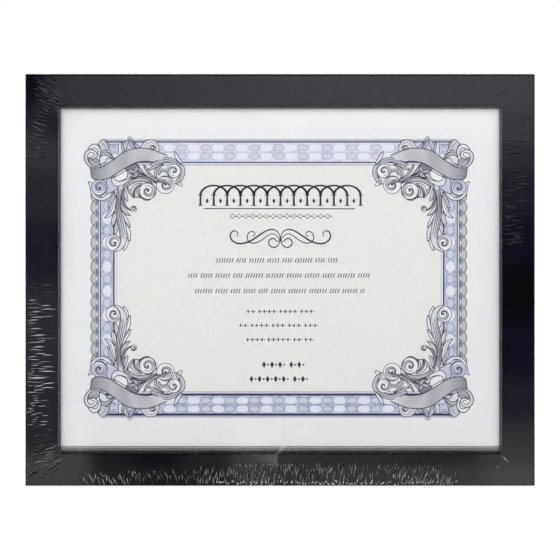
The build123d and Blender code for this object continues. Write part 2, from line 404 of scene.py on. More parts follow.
@dataclass(frozen=True)
class MarbledTint(Finish):
    """Lilac security tint: a marbled halftone that wanders between blue, grey and pink."""

    name: str = "marbled_lilac_tint"
    blue: str = "#bfc9dc"
    middle: str = "#cad1df"
    pink: str = "#d2ccdc"
    vein: str = "#bec2d0"
    clouds: float = 11.0
    veins: float = 6.0

    def surface(self, tree: Tree) -> Node:
        """Print two clouds over each other, one of colour and one of dark veins.

        Args:
            tree: Material's node tree.

        Returns:
            Node with the shader.
        """
        place = surface_place(tree)
        cloud = add_node(tree, "TexNoise", {"Vector": place, "Scale": per_metre(self.clouds), "Detail": 2.0})
        hue = add_node(
            tree, "ValToRGB", {"Fac": cloud}, ((0.36, self.blue), (0.5, self.middle), (0.64, self.pink))
        )
        vein = add_node(tree, "TexNoise", {"Vector": place, "Scale": per_metre(self.veins), "Detail": 3.0})
        dark = add_node(
            tree, "ValToRGB", {"Fac": vein}, ((0.43, "#ffffff"), (0.5, self.vein), (0.56, "#ffffff"))
        )
        veined = add_node(tree, "Mix", {0: 0.8, 6: hue, 7: dark}, data_type="RGBA", blend_type="MULTIPLY")
        return add_node(
            tree,
            "BsdfPrincipled",
            {"Base Color": veined.outputs[2], "Roughness": 0.75, "Specular IOR Level": 0.25},
        )


@dataclass(frozen=True)
class FibreBoard(Finish):
    """Pressed board, which shows its matted fibres as flecks: hardboard, painted board or liner."""

    name: str = "hardboard"
    dark: str = "#4a3120"
    body: str = "#6d4c31"
    pale: str = "#8b6845"
    roughness: float = 0.62
    fibre: float = 0.9
    depth: float = 0.03

    def surface(self, tree: Tree) -> Node:
        """Mat flecks that run in two directions, with a bump of their height.

        Args:
            tree: Material's node tree.

        Returns:
            Node with the shader.
        """
        along, across = (
            add_node(
                tree,
                "TexNoise",
                {"Vector": surface_place(tree, stretch), "Scale": per_metre(self.fibre), "Detail": 4.0},
            )
            for stretch in ((0.35, 1.0, 1.0), (1.0, 1.0, 0.35))
        )
        mat = add_node(tree, "Math", {0: along, 1: across}, operation="ADD")
        fleck = add_node(tree, "MapRange", {"Value": mat, "From Min": 0.8, "From Max": 1.2})
        stops = ((0.1, self.dark), (0.5, self.body), (0.9, self.pale))
        relief = {"Height": fleck, "Distance": metres(self.depth), "Strength": 0.6}
        return add_node(
            tree,
            "BsdfPrincipled",
            {
                "Base Color": add_node(tree, "ValToRGB", {"Fac": fleck}, stops),
                "Roughness": self.roughness,
                "Normal": add_node(tree, "Bump", relief),
            },
        )


@dataclass(frozen=True)
class ZincPlate(Finish):
    """Stamped steel with bright zinc plating: cool grey metal with a soft uneven shine."""

    name: str = "zinc_plated_steel"
    dark: str = "#a3a6aa"
    pale: str = "#c9ccce"
    roughness: float = 0.3
    mottle: float = 1.6
    rolling: float = 0.25

    def surface(self, tree: Tree) -> Node:
        """Give the metal the mottle of the plating bath and fine rolling lines.

        Args:
            tree: Material's node tree.

        Returns:
            Node with the shader.
        """
        place = surface_place(tree)
        mottle = add_node(tree, "TexNoise", {"Vector": place, "Scale": per_metre(self.mottle), "Detail": 3.0})
        drawn = surface_place(tree, (1.0, 1.0, 0.06))
        lines = add_node(tree, "TexNoise", {"Vector": drawn, "Scale": per_metre(self.rolling), "Detail": 2.0})
        dull, bright = self.roughness + 0.1, self.roughness - 0.06
        rough = add_node(
            tree,
            "MapRange",
            {"Value": mottle, "From Min": 0.3, "From Max": 0.7, "To Min": bright, "To Max": dull},
        )
        stops = ((0.3, self.dark), (0.7, self.pale))
        relief = {"Height": lines, "Distance": metres(0.004), "Strength": 0.5}
        return add_node(
            tree,
            "BsdfPrincipled",
            {
                "Base Color": add_node(tree, "ValToRGB", {"Fac": mottle}, stops),
                "Metallic": 1.0,
                "Roughness": rough,
                "Normal": add_node(tree, "Bump", relief),
            },
        )


MOULDING = SatinMoulding()
# polyolefin film drawn tight by heat: both of its faces shine, so its share is twice that of one face
FILM = ClearSheet("clear_shrink_film", 22.0, 1.0, 0.02, 0.5, straight_share=0.08, roughness=0.05)
# painted highlight and painted shade on the film's creases, pleat, edges and lips
FILM_PAINTED_LIGHT = FilmPaintedLight()
# float glass has a sharp reflection and hardly any ripple
GLASS = ClearSheet("float_glass", 60.0, 0.0, 0.01, 0.3, straight_share=0.04, roughness=0.02)
PAPER = Paper()
IVORY = Paper(name="ivory_ground_tint", thin="#e5e6e1", thick="#f1f1ee", fibre=0.8)
INK = PrintedInk()
LILAC = MarbledTint()
PALE_LILAC = MarbledTint("pale_lilac_tint", "#dadeea", "#e3e5ed", "#e8e3ec", "#dddee7")
HARDBOARD = FibreBoard()
LEG_BOARD = FibreBoard("black_painted_hardboard", "#101012", "#18181b", "#232326", roughness=0.5, depth=0.02)
LINER = FibreBoard("grey_liner_board", "#727373", "#7e7e7d", "#8a8a88", roughness=0.85, fibre=0.6, depth=0.01)
ZINC = ZincPlate()
NICKEL = ZincPlate("nickel_plated_steel", "#b9b7b0", "#d8d6cf", roughness=0.2)
WIRE = ZincPlate("bright_drawn_wire", "#b5b7ba", "#d5d7d9", roughness=0.18)


# Mesh helpers


def deselect() -> None:
    """Clear the selection, so that the next operator works on its own piece only."""
    for piece in bpy.context.selected_objects:
        piece.select_set(False)


def piece_of(mesh: bmesh.types.BMesh, name: str, finish: Finish) -> bpy.types.Object:
    """Make an object of a mesh that was built in code, and let the frame carry it.

    Args:
        mesh: The built mesh, which is used up.
        name: Name of the piece.
        finish: Its material.

    Returns:
        The new object at the origin.
    """
    data = bpy.data.meshes.new(name)
    mesh.to_mesh(data)
    mesh.free()
    data.materials.append(finish.material())
    piece = bpy.data.objects.new(name, data)
    bpy.context.scene.collection.objects.link(piece)
    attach(piece, FRAME_BODY)
    return piece


def curve(points: Path, steps: int = 7, closed: bool = False) -> list[Point]:
    """Run a smooth line through given points.

    Args:
        points: Points that the line passes.
        steps: Pieces between two points.
        closed: Whether the line comes back to its first point.

    Returns:
        Points along the line.
    """
    count = len(points)
    if count < 3:
        return list(points)
    spans = count if closed else count - 1
    line: list[Point] = []
    for span in range(spans):
        if closed:
            four = [points[(span + shift) % count] for shift in (-1, 0, 1, 2)]
        else:
            four = [points[min(max(span + shift, 0), count - 1)] for shift in (-1, 0, 1, 2)]
        for step in range(steps):
            share = step / steps
            line.append(tuple(spline_value([point[axis] for point in four], share) for axis in (0, 1)))
    if not closed:
        line.append(points[-1])
    return line


def outline_through(points: Path, steps: int = 5) -> list[Point]:
    """Run a closed smooth outline through points, with a sharp corner where a point is given twice.

    Args:
        points: Points round the outline.
        steps: Pieces between two points.

    Returns:
        Points along the outline, the first not repeated.
    """
    count = len(points)
    corners = [place for place in range(count) if points[place] == points[(place + 1) % count]]
    if not corners:
        return curve(points, steps, True)
    turned = list(points[corners[0] + 1:]) + list(points[:corners[0] + 1])
    outline: list[Point] = []
    run = [turned[0]]
    for point in turned[1:]:
        if point == run[-1]:
            outline += curve(run, steps)[:-1]
            run = [point]
        else:
            run.append(point)
    outline += curve(run + [turned[0]] if run[-1] != turned[0] else run, steps)[:-1]
    return outline


def spline_value(four: Sequence[float], share: float) -> float:
    """Give one coordinate of the smooth line between the middle two of four values.

    Args:
        four: That coordinate of the points before, at the start, at the end and after.
        share: Place between start and end, from zero to one.

    Returns:
        The coordinate there.
    """
    before, start, end, after = four
    return 0.5 * (
        2.0 * start
        + (end - before) * share
        + (2.0 * before - 5.0 * start + 4.0 * end - after) * share ** 2
        + (3.0 * start - before - 3.0 * end + after) * share ** 3
    )


def resample(points: Path, count: int) -> list[Point]:
    """Spread a number of points evenly along a line.

    Args:
        points: The line.
        count: How many points come back.

    Returns:
        Evenly spaced points, ends included.
    """
    lengths = [0.0]
    for first, second in zip(points, points[1:]):
        lengths.append(lengths[-1] + math.dist(first, second))
    even: list[Point] = []
    place = 0
    for number in range(count):
        target = lengths[-1] * number / (count - 1)
        while place < len(lengths) - 2 and lengths[place + 1] < target:
            place += 1
        span = lengths[place + 1] - lengths[place] or 1.0
        share = (target - lengths[place]) / span
        start, end = points[place], points[place + 1]
        even.append((start[0] + (end[0] - start[0]) * share, start[1] + (end[1] - start[1]) * share))
    return even


def sideways(points: Path, offsets: Sequence[float]) -> list[Point]:
    """Move each point of a line to its left by its own offset.

    Args:
        points: The line.
        offsets: Distance for each point, negative to the right.

    Returns:
        The moved points.
    """
    moved: list[Point] = []
    last = len(points) - 1
    for place, (point, offset) in enumerate(zip(points, offsets)):
        before, after = points[max(place - 1, 0)], points[min(place + 1, last)]
        along = (after[0] - before[0], after[1] - before[1])
        length = math.hypot(*along) or 1.0
        moved.append((point[0] - along[1] / length * offset, point[1] + along[0] / length * offset))
    return moved


# The print


@dataclass
class Plate:
    """A printing plate: flat ink shapes in the sheet's plane, a later shape over an earlier one."""

    centre_x: float
    centre_z: float
    face_y: float
    step: float = 0.0008
    level: int = 1
    flips: tuple[Point, ...] = ((1.0, 1.0),)
    least_area: float = 1e-9
    mesh: bmesh.types.BMesh = field(default_factory=bmesh.new)

    def __post_init__(self) -> None:
        """Give the plate its layer of ink colours."""
        self.ink = self.mesh.loops.layers.float_color.new("ink")

    def above(self) -> Plate:
        """Lift what comes next over what is there, and give the plate back."""
        self.level += 1
        return self

    def face(self, points: Path, colours: Sequence[Colour]) -> None:
        """Add a face once for each mirrored copy, always turned to the viewer.

        Args:
            points: Corners from the print's centre, in millimetres.
            colours: One linear colour for each corner.
        """
        turn = sum(a[0] * b[1] - b[0] * a[1] for a, b in zip(points, list(points[1:]) + [points[0]]))
        if abs(turn) < self.least_area:
            return
        height = metres(self.face_y - self.step * self.level)
        for flip_x, flip_z in self.flips:
            corners = [
                self.mesh.verts.new(
                    (metres(self.centre_x + flip_x * x), height, metres(self.centre_z + flip_z * z))
                )
                for x, z in points
            ]
            tints = list(colours)
            if turn * flip_x * flip_z < 0.0:
                corners.reverse()
                tints.reverse()
            face = self.mesh.faces.new(corners)
            for loop, tint in zip(face.loops, tints):
                loop[self.ink] = tint

    def fill(self, outline: Path, colour: str) -> None:
        """Fill a closed outline with one colour."""
        self.face(outline, [linear(colour)] * len(outline))

    def strip(self, first: Path, second: Path, shade: Callable[[float], Colour]) -> None:
        """Fill the strip between two lines.

        Args:
            first: One side.
            second: The other side, with as many points.
            shade: Colour at a share of the strip's length.
        """
        last = len(first) - 1
        for place in range(last):
            near, far = shade(place / last), shade((place + 1) / last)
            self.face(
                (first[place], first[place + 1], second[place + 1], second[place]), (near, far, far, near)
            )

    def line(self, points: Path, width: float, colour: str, taper: float = 0.0) -> None:
        """Draw a line with a width.

        Args:
            points: The line's points.
            width: Full width in millimetres.
            colour: Hex colour.
            taper: How much of the width is lost toward both ends, from zero to one.
        """
        last = max(len(points) - 1, 1)
        swells = [math.sin(math.pi * place / last) for place in range(len(points))]
        halves = [0.5 * width * (1.0 - taper + taper * swell) for swell in swells]
        tint = linear(colour)
        self.strip(sideways(points, halves), sideways(points, [-half for half in halves]), lambda share: tint)

    def box(self, left: float, foot: float, right: float, top: float, colour: str = "#ffffff") -> None:
        """Fill a rectangle."""
        self.fill(((left, foot), (right, foot), (right, top), (left, top)), colour)

    def lozenge(self, centre: Point, half_x: float, half_z: float, colour: str) -> None:
        """Fill a lozenge."""
        x, z = centre
        self.fill(((x - half_x, z), (x, z - half_z), (x + half_x, z), (x, z + half_z)), colour)

    def disc(self, centre: Point, radius: float, colour: str, squash: float = 1.0, sides: int = 20) -> None:
        """Fill a disc or an oval."""
        self.fill(ring(centre, radius, squash, sides), colour)

    def loop(
        self, centre: Point, radius: float, width: float, colour: str, squash: float = 1.0, sides: int = 20
    ) -> None:
        """Draw a ring or an oval line."""
        outline = ring(centre, radius, squash, sides)
        self.line(outline + outline[:2], width, colour)

    def press(self, name: str, finish: Finish) -> bpy.types.Object:
        """Make the printed piece, with its outlines cut into triangles.

        Args:
            name: Name of the piece.
            finish: Its finish.

        Returns:
            The piece.
        """
        outlines = [face for face in self.mesh.faces if len(face.verts) > 4]
        bmesh.ops.triangulate(self.mesh, faces=outlines, ngon_method="EAR_CLIP")
        return piece_of(self.mesh, name, finish)


def ring(centre: Point, radius: float, squash: float = 1.0, sides: int = 20) -> list[Point]:
    """Give the corners of a many-sided ring.

    Args:
        centre: Its middle.
        radius: Half of its width.
        squash: Its height as a share of its width.
        sides: Number of corners.

    Returns:
        The corners, the first to the right of the middle.
    """
    angles = [math.tau * side / sides for side in range(sides)]
    return [
        (centre[0] + radius * math.cos(angle), centre[1] + radius * squash * math.sin(angle))
        for angle in angles
    ]


class Line(str, Enum):
    """Ink colours of the engraving."""

    DARK = "#262833"
    MIDDLE = "#5b5d6b"
    SOFT = "#84868f"
    NAVY = "#3c3a66"
    SLATE = "#4f5274"
    BLACK = "#0e0f11"
    GREY = "#1c1d1f"


class Wash(str, Enum):
    """Pale tones that fill the engraving's shapes."""

    WHITE = "#eff0f2"
    PALE = "#e2e3e8"
    CLOUD = "#cccdd5"
    STONE = "#adafb8"
    SHADE = "#80828d"
    DEEP = "#4b4d5b"
    NIGHT = "#262834"
    LILAC = "#c9cae0"


@dataclass
class CornerOrnament:
    """One corner of the border: a ribbon, scrolls and acanthus, drawn once and mirrored to all four.

    It is set out on squared paper, as an engraver would, with its first square at the outer corner.
    """

    plate: Plate
    square: float = 0.4946
    corner_x: float = -123.13
    corner_z: float = 91.6
    outline: float = 0.47
    leaf_points: int = 15
    scroll_steps: int = 44
    rim_sides: int = 26
    band_points: int = 36
    ribbon_points: int = 44
    ribbon_lines: int = 14
    hair_line: float = 0.19

    def at(self, squares: Path) -> list[Point]:
        """Turn squares, counted right and down from the corner, into places on the print."""
        return [(self.corner_x + x * self.square, self.corner_z - z * self.square) for x, z in squares]

    def leaf(
        self,
        spine: Path,
        width: float,
        pale: Wash = Wash.WHITE,
        shade: Wash = Wash.CLOUD,
        belly: float = 0.8,
    ) -> None:
        """Draw a leaf along a spine, pale on one side and shaded on the other.

        Args:
            spine: Squares from its foot to its tip.
            width: Greatest full width, in squares.
            pale: Wash of the left side.
            shade: Wash of the right side.
            belly: Under one, the leaf is widest near its foot.
        """
        middle = resample(curve(self.at(spine)), self.leaf_points)
        half = 0.5 * width * self.square
        shares = [place / (self.leaf_points - 1) for place in range(self.leaf_points)]
        swell = [half * math.sin(math.pi * share ** belly) ** 0.8 for share in shares]
        left, right = sideways(middle, swell), sideways(middle, [-value for value in swell])
        light, dark = linear(pale), linear(shade)
        self.plate.above().strip(left, middle, lambda share: light)
        self.plate.strip(middle, right, lambda share: blend_colours(dark, light, share * 0.6))
        self.plate.above().line(left, self.outline, Line.DARK)
        self.plate.line(right, self.outline, Line.DARK)
        self.plate.line(middle[1:-2], self.outline * 0.7, Line.MIDDLE, 0.6)

    def volute(
        self,
        centre: Point,
        radius: float,
        start: float,
        turns: float,
        eye: Wash,
        wash: Wash = Wash.WHITE,
        hand: float = 1.0,
    ) -> None:
        """Draw a scroll that winds in to its eye.

        Args:
            centre: Its eye, in squares.
            radius: Its outer radius, in squares.
            start: Angle in degrees where the scroll opens.
            turns: How often it winds round.
            eye: Tone of the shadow at the eye.
            wash: Tone of its body.
            hand: One to wind to the left, minus one to the right.
        """
        rim = self.at(ring(centre, radius, 1.0, self.rim_sides))
        paths: tuple[list[Point], ...] = ([], [], [])
        for number in range(self.scroll_steps + 1):
            share = number / self.scroll_steps
            angle = math.radians(start) + hand * math.tau * turns * share
            reach = radius * (1.0 - 0.86 * share ** 1.1)
            for path, scale in zip(paths, (1.0, 0.76, 0.55)):
                x, z = reach * scale * math.cos(angle), reach * scale * math.sin(angle)
                path.append((centre[0] + x, centre[1] + z))
        outer, inner, shadow = (self.at(path) for path in paths)
        pale, cloud, dark = (linear(tone) for tone in (Wash.WHITE, Wash.CLOUD, eye))
        self.plate.above().fill(rim, wash)
        self.plate.above().strip(outer, inner, lambda share: pale)
        self.plate.above().strip(inner, shadow, lambda share: blend_colours(cloud, dark, share ** 0.95))
        self.plate.above().line(rim + rim[:2], self.outline * 0.8, Line.DARK)
        self.plate.above().line(outer, self.outline * 1.15, Line.DARK)
        self.plate.above().line(inner[8:], self.outline * 0.8, Line.DARK, 0.3)
        self.plate.above().fill(self.at(ring(centre, radius * 0.13, 1.0, 10)), Line.DARK)

    def shape(self, outline: Path, wash: Wash, smooth: bool = True) -> None:
        """Fill a closed shape and draw its outline.

        Args:
            outline: Its corners in squares.
            wash: Tone that fills it.
            smooth: Whether the outline is rounded.
        """
        edge = outline_through(outline) if smooth else list(outline)
        edge = self.at(edge)
        self.plate.above().fill(edge, wash)
        self.plate.above().line(edge + edge[:1], self.outline, Line.DARK)

    def band(self, first: Path, second: Path, tones: tuple[Wash, Wash]) -> None:
        """Draw a curling band between two edges.

        Args:
            first: Squares along one edge.
            second: Squares along the other edge.
            tones: Wash at its start and at its end.
        """
        near, far = (resample(curve(self.at(edge)), self.band_points) for edge in (first, second))
        start, end = (linear(tone) for tone in tones)
        self.plate.above().strip(near, far, lambda share: blend_colours(start, end, share))
        self.plate.above().line(near, self.outline * 1.2, Line.DARK)
        self.plate.line(far, self.outline, Line.DARK)

    def stroke(self, points: Path, width: float = 1.0, ink: Line = Line.DARK) -> None:
        """Draw one tapered engraver's stroke, its width counted in outline widths."""
        self.plate.line(curve(self.at(points)), self.outline * width, ink, 0.45)

    def ribbon(self, upper: Path, lower: Path, tones: Sequence[tuple[float, str]]) -> None:
        """Draw the length of a ribbon between its two edges, with the lines that follow it.

        Args:
            upper: Squares along its upper edge.
            lower: Squares along its lower edge.
            tones: Share of its length, and the hex tone there.
        """
        top, bottom = (resample(curve(self.at(edge)), self.ribbon_points) for edge in (upper, lower))

        def tone(share: float) -> Colour:
            """Give the ribbon's tone.

            Args:
                share: Place along its length, from zero to one.

            Returns:
                The colour there.
            """
            for (start, first), (end, second) in zip(tones, tones[1:]):
                if share <= end:
                    return blend_colours(linear(first), linear(second), (share - start) / (end - start))
            return linear(tones[-1][1])

        self.plate.above().strip(top, bottom, tone)
        self.plate.above()
        for number in range(1, self.ribbon_lines):
            across = number / self.ribbon_lines
            row = [
                (a[0] + (b[0] - a[0]) * across, a[1] + (b[1] - a[1]) * across) for a, b in zip(top, bottom)
            ]
            # the lines begin and end in a ragged row
            first, last = (number * 5) % 9, self.ribbon_points - (number * 7) % 11
            self.plate.line(row[first:last], self.hair_line, Line.MIDDLE, 0.5)
        self.plate.line(top, self.outline * 1.2, Line.DARK)
        self.plate.line(bottom, self.outline * 1.2, Line.DARK)
        self.plate.line([top[0], bottom[0]], self.outline, Line.DARK)

    def crest(self) -> None:
        """Draw the small cloth and leaves that stand behind the ribbon, on the upper band."""
        self.shape(
            ((34, 16), (40, 16.6), (46.5, 15), (46.2, 22), (45.4, 29), (41.5, 24.6), (38, 29.5), (35, 22)),
            Wash.LILAC,
            False,
        )
        self.stroke(((37, 18.5), (41, 19), (44.5, 18)), 0.8, Line.MIDDLE)
        self.leaf(((68, 22), (65, 18), (61.5, 13), (59.5, 8.5)), 5.5, Wash.LILAC, Wash.SHADE)
        self.leaf(((53.5, 28), (54, 21), (56.5, 14), (60.5, 9)), 4.6)
        self.leaf(((53, 27), (51.5, 20), (50.5, 12)), 3.0)
        self.leaf(((74, 21.5), (70, 18.5), (66, 13.5)), 3.4)
        self.stroke(((57.5, 8.5), (60, 6.3), (63, 7.6), (64.3, 10.8)), 1.1)
        self.shape(
            (
                (74.5, 20.8), (78.5, 13.5), (85.5, 10.2), (92.5, 11.5), (96.6, 17), (97.2, 24.5), (91, 25),
                (82, 21.5),
            ),
            Wash.PALE,
        )
        self.stroke(
            ((77, 20.5), (81, 15.5), (87, 13), (92.5, 15.5), (94.5, 20.5), (93.5, 24)),
            0.8,
            Line.MIDDLE,
        )
        self.stroke(((79.5, 21), (83, 17.5), (86, 16)), 0.8, Line.SOFT)
        self.volute((89.2, 20.6), 3.7, 170.0, 1.2, Wash.STONE)

    def right_scrolls(self) -> None:
        """Draw the scrolls that hang from the ribbon's right end, inside the border."""
        self.shape(((117, 25.8), (119, 26), (126.5, 38.5), (124.5, 40), (118.5, 33)), Wash.PALE)
        self.shape(
            (
                (86, 41.5), (92, 37.6), (100, 33.5), (108.5, 32.2), (117, 34.5), (124, 40.5), (129.3, 44.5),
                (130.3, 52.5), (127, 60.5), (123.5, 63), (118.5, 62.5), (123.8, 55), (123.5, 48.5),
                (118.5, 42.2), (110.5, 38.2), (101, 39.4), (93, 43.4),
            ),
            Wash.CLOUD,
        )
        self.stroke(
            ((90, 40.6), (100, 36.2), (109, 35), (118, 38.4), (125.4, 46), (126, 54), (122.8, 61)),
            0.9,
        )
        self.stroke(((94, 41), (102, 37.8), (110, 36.8)), 0.8, Line.SOFT)
        self.shape(
            ((117.5, 65.4), (122.5, 65), (124, 62.4), (127.4, 67.2), (126.4, 69), (123, 67.4)),
            Wash.WHITE,
            False,
        )
        self.leaf(((95, 60), (93, 52), (96, 46), (104.5, 40.8)), 3.2)
        self.leaf(((97, 55), (100, 48.5), (107, 49.5), (110, 45)), 3.4, Wash.WHITE, Wash.STONE)
        self.volute((115.8, 49.5), 8.8, 75.0, 1.15, Wash.SHADE)
        self.leaf(((83, 47.5), (88, 46.5), (95, 42.5), (103, 40.5)), 3.4)
        self.leaf(((71, 42), (74, 49), (80, 55.5), (88, 60), (97, 63.6)), 3.2, Wash.PALE, Wash.SHADE)
        self.leaf(((78, 41), (82, 48.5), (88, 55.5), (96.5, 60.5)), 3.0, Wash.WHITE, Wash.STONE)
        self.volute((105.6, 66.8), 11.2, 215.0, 1.25, Wash.DEEP)
        self.leaf(((95, 63), (101, 62.2), (107, 64.5), (110.5, 67)), 3.6, Wash.STONE, Wash.SHADE)

    def under_ribbon(self) -> None:
        """Draw what fills the space below the ribbon, down to the root of the leaves."""
        self.shape(((55, 47), (62, 42.5), (69.5, 40), (71, 45), (67, 50), (62, 50.5)), Wash.SHADE)
        self.shape(((66, 52), (72.5, 45), (79, 53), (83, 57), (71, 56.5)), Wash.STONE)
        for shift in (0.0, 2.2, 4.4, 6.6):
            start, middle = (69.5 + shift * 0.7, 46 + shift), (73 + shift * 0.8, 51 + shift * 0.6)
            self.stroke((start, middle, (77 + shift * 0.8, 55.5)), 1.2)
        self.stroke(((71, 54.5), (75.5, 52.5), (80.5, 56)), 1.6)
        self.leaf(((70, 57.5), (68.5, 50), (70.5, 42)), 4.0)
        self.leaf(((58, 48), (63.5, 50.5), (70.5, 50.5)), 3.6, Wash.WHITE, Wash.STONE)
        self.volute((61.8, 55.6), 3.9, 200.0, 1.1, Wash.DEEP)
        self.shape(
            (
                (37.5, 60.5), (41, 57), (43, 60.5), (48, 62.5), (56, 60.5), (64, 57.5), (57, 64),
                (47, 68.8), (40, 67),
            ),
            Wash.PALE,
        )
        self.shape(
            ((41.5, 57.5), (47.5, 54), (55, 49.5), (58, 51.5), (56.5, 58), (49.5, 62), (43.5, 61.5)),
            Wash.WHITE,
        )
        self.leaf(((86, 62.5), (76, 58), (65.5, 60), (56, 66.5), (50, 73)), 4.4, Wash.WHITE, Wash.STONE)
        self.leaf(((95, 65.5), (84, 59.5), (72, 57.4), (62, 60)), 2.6, Wash.PALE, Wash.SHADE)

    def left_volute(self) -> None:
        """Draw the scroll below the ribbon's left end."""
        self.shape(
            (
                (7.8, 63.2), (11, 63.5), (14, 67), (14.5, 74.5), (19, 81.5), (26, 83), (31.5, 79), (38.5, 76),
                (35, 82.5), (28, 86.4), (19.5, 85.8), (12.5, 80), (10.5, 72), (9.8, 67),
            ),
            Wash.PALE,
        )
        self.shape(((32, 60), (38, 59), (40.5, 66.5), (46.5, 69.5), (38, 76), (31, 77)), Wash.LILAC)
        self.volute((22.2, 70.2), 10.2, 125.0, 1.35, Wash.DEEP, Wash.LILAC, hand=-1.0)

    def middle_volute(self) -> None:
        """Draw the dark scroll in the middle, with the leaf that runs round it."""
        self.leaf(((56, 71), (62.5, 64), (73, 60.5), (84, 62.5), (91, 67.5)), 4.2, Wash.PALE, Wash.STONE)
        self.leaf(((66, 84), (64.5, 76), (68, 69), (76, 64.5)), 5.6, Wash.WHITE, Wash.NIGHT)
        self.leaf(((74, 83.5), (71.5, 76), (75, 69.5), (83.5, 65.5)), 4.4, Wash.PALE, Wash.DEEP)
        self.volute((83.4, 74.6), 10.6, 230.0, 1.3, Wash.NIGHT)
        self.shape(
            (
                (72, 81), (76.5, 83.5), (83, 85.8), (89.5, 83), (93.2, 76), (94.5, 69), (92.5, 79),
                (87, 85), (80, 86.4),
            ),
            Wash.WHITE,
        )
        self.stroke(((65, 79), (68, 82.5), (73.5, 82.6)), 1.2)

    def acanthus(self) -> None:
        """Draw the long leaf that hangs down the side band, lobe by lobe, and its scroll."""
        self.leaf(((42, 76), (38, 86), (33, 97)), 4.6, belly=1.1)
        self.leaf(((43, 80), (39.5, 93), (36, 103), (28.5, 109)), 6.2, belly=1.1)
        self.leaf(((45, 98), (41, 108), (38.5, 119.5)), 5.4, belly=1.1)
        self.leaf(((47, 108), (44, 119), (41.5, 130)), 5.2, belly=1.0)
        self.leaf(((54, 71), (54.5, 79), (58, 88)), 4.6, Wash.WHITE, Wash.STONE, 1.1)
        self.leaf(((57, 70), (60.5, 76), (65, 82)), 3.4, Wash.WHITE, Wash.STONE, 1.1)
        self.leaf(((51, 72), (51.5, 84), (55, 94), (63, 100)), 3.6, Wash.STONE, Wash.DEEP, 0.7)
        self.volute((65.6, 97.4), 3.6, 150.0, 1.1, Wash.CLOUD)
        self.leaf(((48, 88), (52, 99), (61.5, 106)), 5.0, Wash.WHITE, Wash.DEEP, 1.1)
        self.leaf(((48, 97), (54, 110), (61.5, 121)), 6.2, Wash.WHITE, Wash.DEEP, 1.1)
        self.leaf(((50, 110), (56.5, 124), (61, 138.5)), 7.4, Wash.WHITE, Wash.STONE, 1.1)
        self.leaf(((52, 125), (55, 138), (53.2, 150.5)), 7.6, Wash.WHITE, Wash.STONE, 1.1)
        self.volute((40.8, 140.2), 10.2, 60.0, 1.3, Wash.NIGHT, hand=-1.0)
        self.band(
            ((46, 71), (43.6, 84), (43.2, 98), (44.5, 112), (47.5, 126), (49, 138), (46, 146), (40.6, 149.4)),
            ((53, 71), (49.5, 84), (49.5, 97), (54, 112), (57, 128), (55.4, 141), (49, 149), (41, 151.4)),
            (Wash.CLOUD, Wash.PALE),
        )
        for rib in (
            ((47, 73), (44.5, 92), (46.5, 112), (50.8, 134)),
            ((49, 73), (46, 90), (48.8, 112), (53, 134)),
            ((51, 73), (47.8, 90), (50.6, 110), (55, 130)),
        ):
            self.stroke(rib, 1.1)
        self.stroke(((46, 80), (44.6, 92), (45, 104)), 0.9, Line.MIDDLE)

    def rolled_end(self) -> None:
        """Draw the left end of the ribbon, which rolls up and folds back."""
        self.shape(
            ((23, 26), (27, 24), (33, 25), (41, 34.5), (33, 33), (29, 38.5), (22, 41), (22.5, 33)),
            Wash.PALE,
        )
        self.leaf(((22.5, 33), (25, 28.5), (32, 28), (41.5, 35.4)), 3.6, Wash.WHITE, Wash.STONE)
        self.shape(
            (
                (20, 14.4), (27.7, 9), (33.8, 14.4), (35, 22.5), (31.8, 22.6), (27, 24.2), (24.2, 26.2),
                (22.8, 19.5),
            ),
            Wash.CLOUD,
            False,
        )
        self.stroke(((24.5, 13.5), (29, 17.5), (29.5, 22)), 0.8, Line.MIDDLE)
        self.stroke(((28, 9), (32, 15.5), (33.5, 22)), 0.9)
        self.band(
            ((7.4, 22.4), (10.6, 18), (15.5, 15.4), (21, 17.8), (24.2, 24.6), (22.4, 31.5)),
            ((9.5, 24.4), (12.6, 21.4), (15.8, 20.2), (19.2, 22), (20.8, 26.5), (18.6, 32)),
            (Wash.WHITE, Wash.PALE),
        )
        self.shape(
            ((8.4, 32), (12, 34.6), (18, 33.6), (22.2, 37.4), (22, 42), (18, 44), (13.4, 43), (9.6, 38.6)),
            Wash.STONE,
        )
        self.stroke(((11, 35.8), (15, 36.4), (20.4, 39.4)), 0.8, Line.MIDDLE)
        self.band(
            (
                (11, 45), (6.4, 41), (3.8, 36.4), (2.9, 31), (5.2, 24.9), (11, 22), (16.5, 23.9),
                (19.6, 28.4), (18.7, 32), (14.6, 34.2), (10.4, 32),
            ),
            (
                (13.2, 43), (9.8, 39.4), (7.8, 35.6), (7, 31.4), (8.4, 27.8), (11.6, 26), (14.6, 27),
                (16.2, 29), (15.6, 30.6), (13.8, 31.2), (12.2, 30),
            ),
            (Wash.CLOUD, Wash.WHITE),
        )

    def draw(self) -> None:
        """Draw the whole corner, from what lies behind to what lies in front."""
        self.crest()
        self.left_volute()
        self.right_scrolls()
        self.under_ribbon()
        self.middle_volute()
        self.acanthus()
        self.ribbon(
            (
                (10.5, 44.5), (17, 45.6), (25, 44.2), (33, 39.8), (40, 35), (48, 28.8), (56, 24),
                (63, 21.8), (70, 20.8), (79, 20.6), (87, 21.8), (96, 25), (102, 27.6), (108, 30.2),
            ),
            (
                (12.2, 57), (15.6, 60), (20, 60.8), (27, 60.4), (34, 58.4), (41, 54.6), (48, 50.2),
                (55, 46), (62, 41.8), (69, 38.8), (77, 37.4), (85, 37.2), (90, 38.2), (96, 36),
            ),
            (
                (0.0, "#7c7e84"), (0.12, "#abadb2"), (0.3, "#d6d7d9"), (0.5, "#c3c4c8"), (0.62, "#e0e1e3"),
                (0.82, "#cccdd2"), (1.0, "#dcdde1"),
            ),
        )
        self.rolled_end()


@dataclass(frozen=True)
class BandTone:
    """Inks of one band: its pale latticed patches, their lozenges, its plain ovals and their edges."""

    patch: str
    dot: str
    oval: str
    edge: str


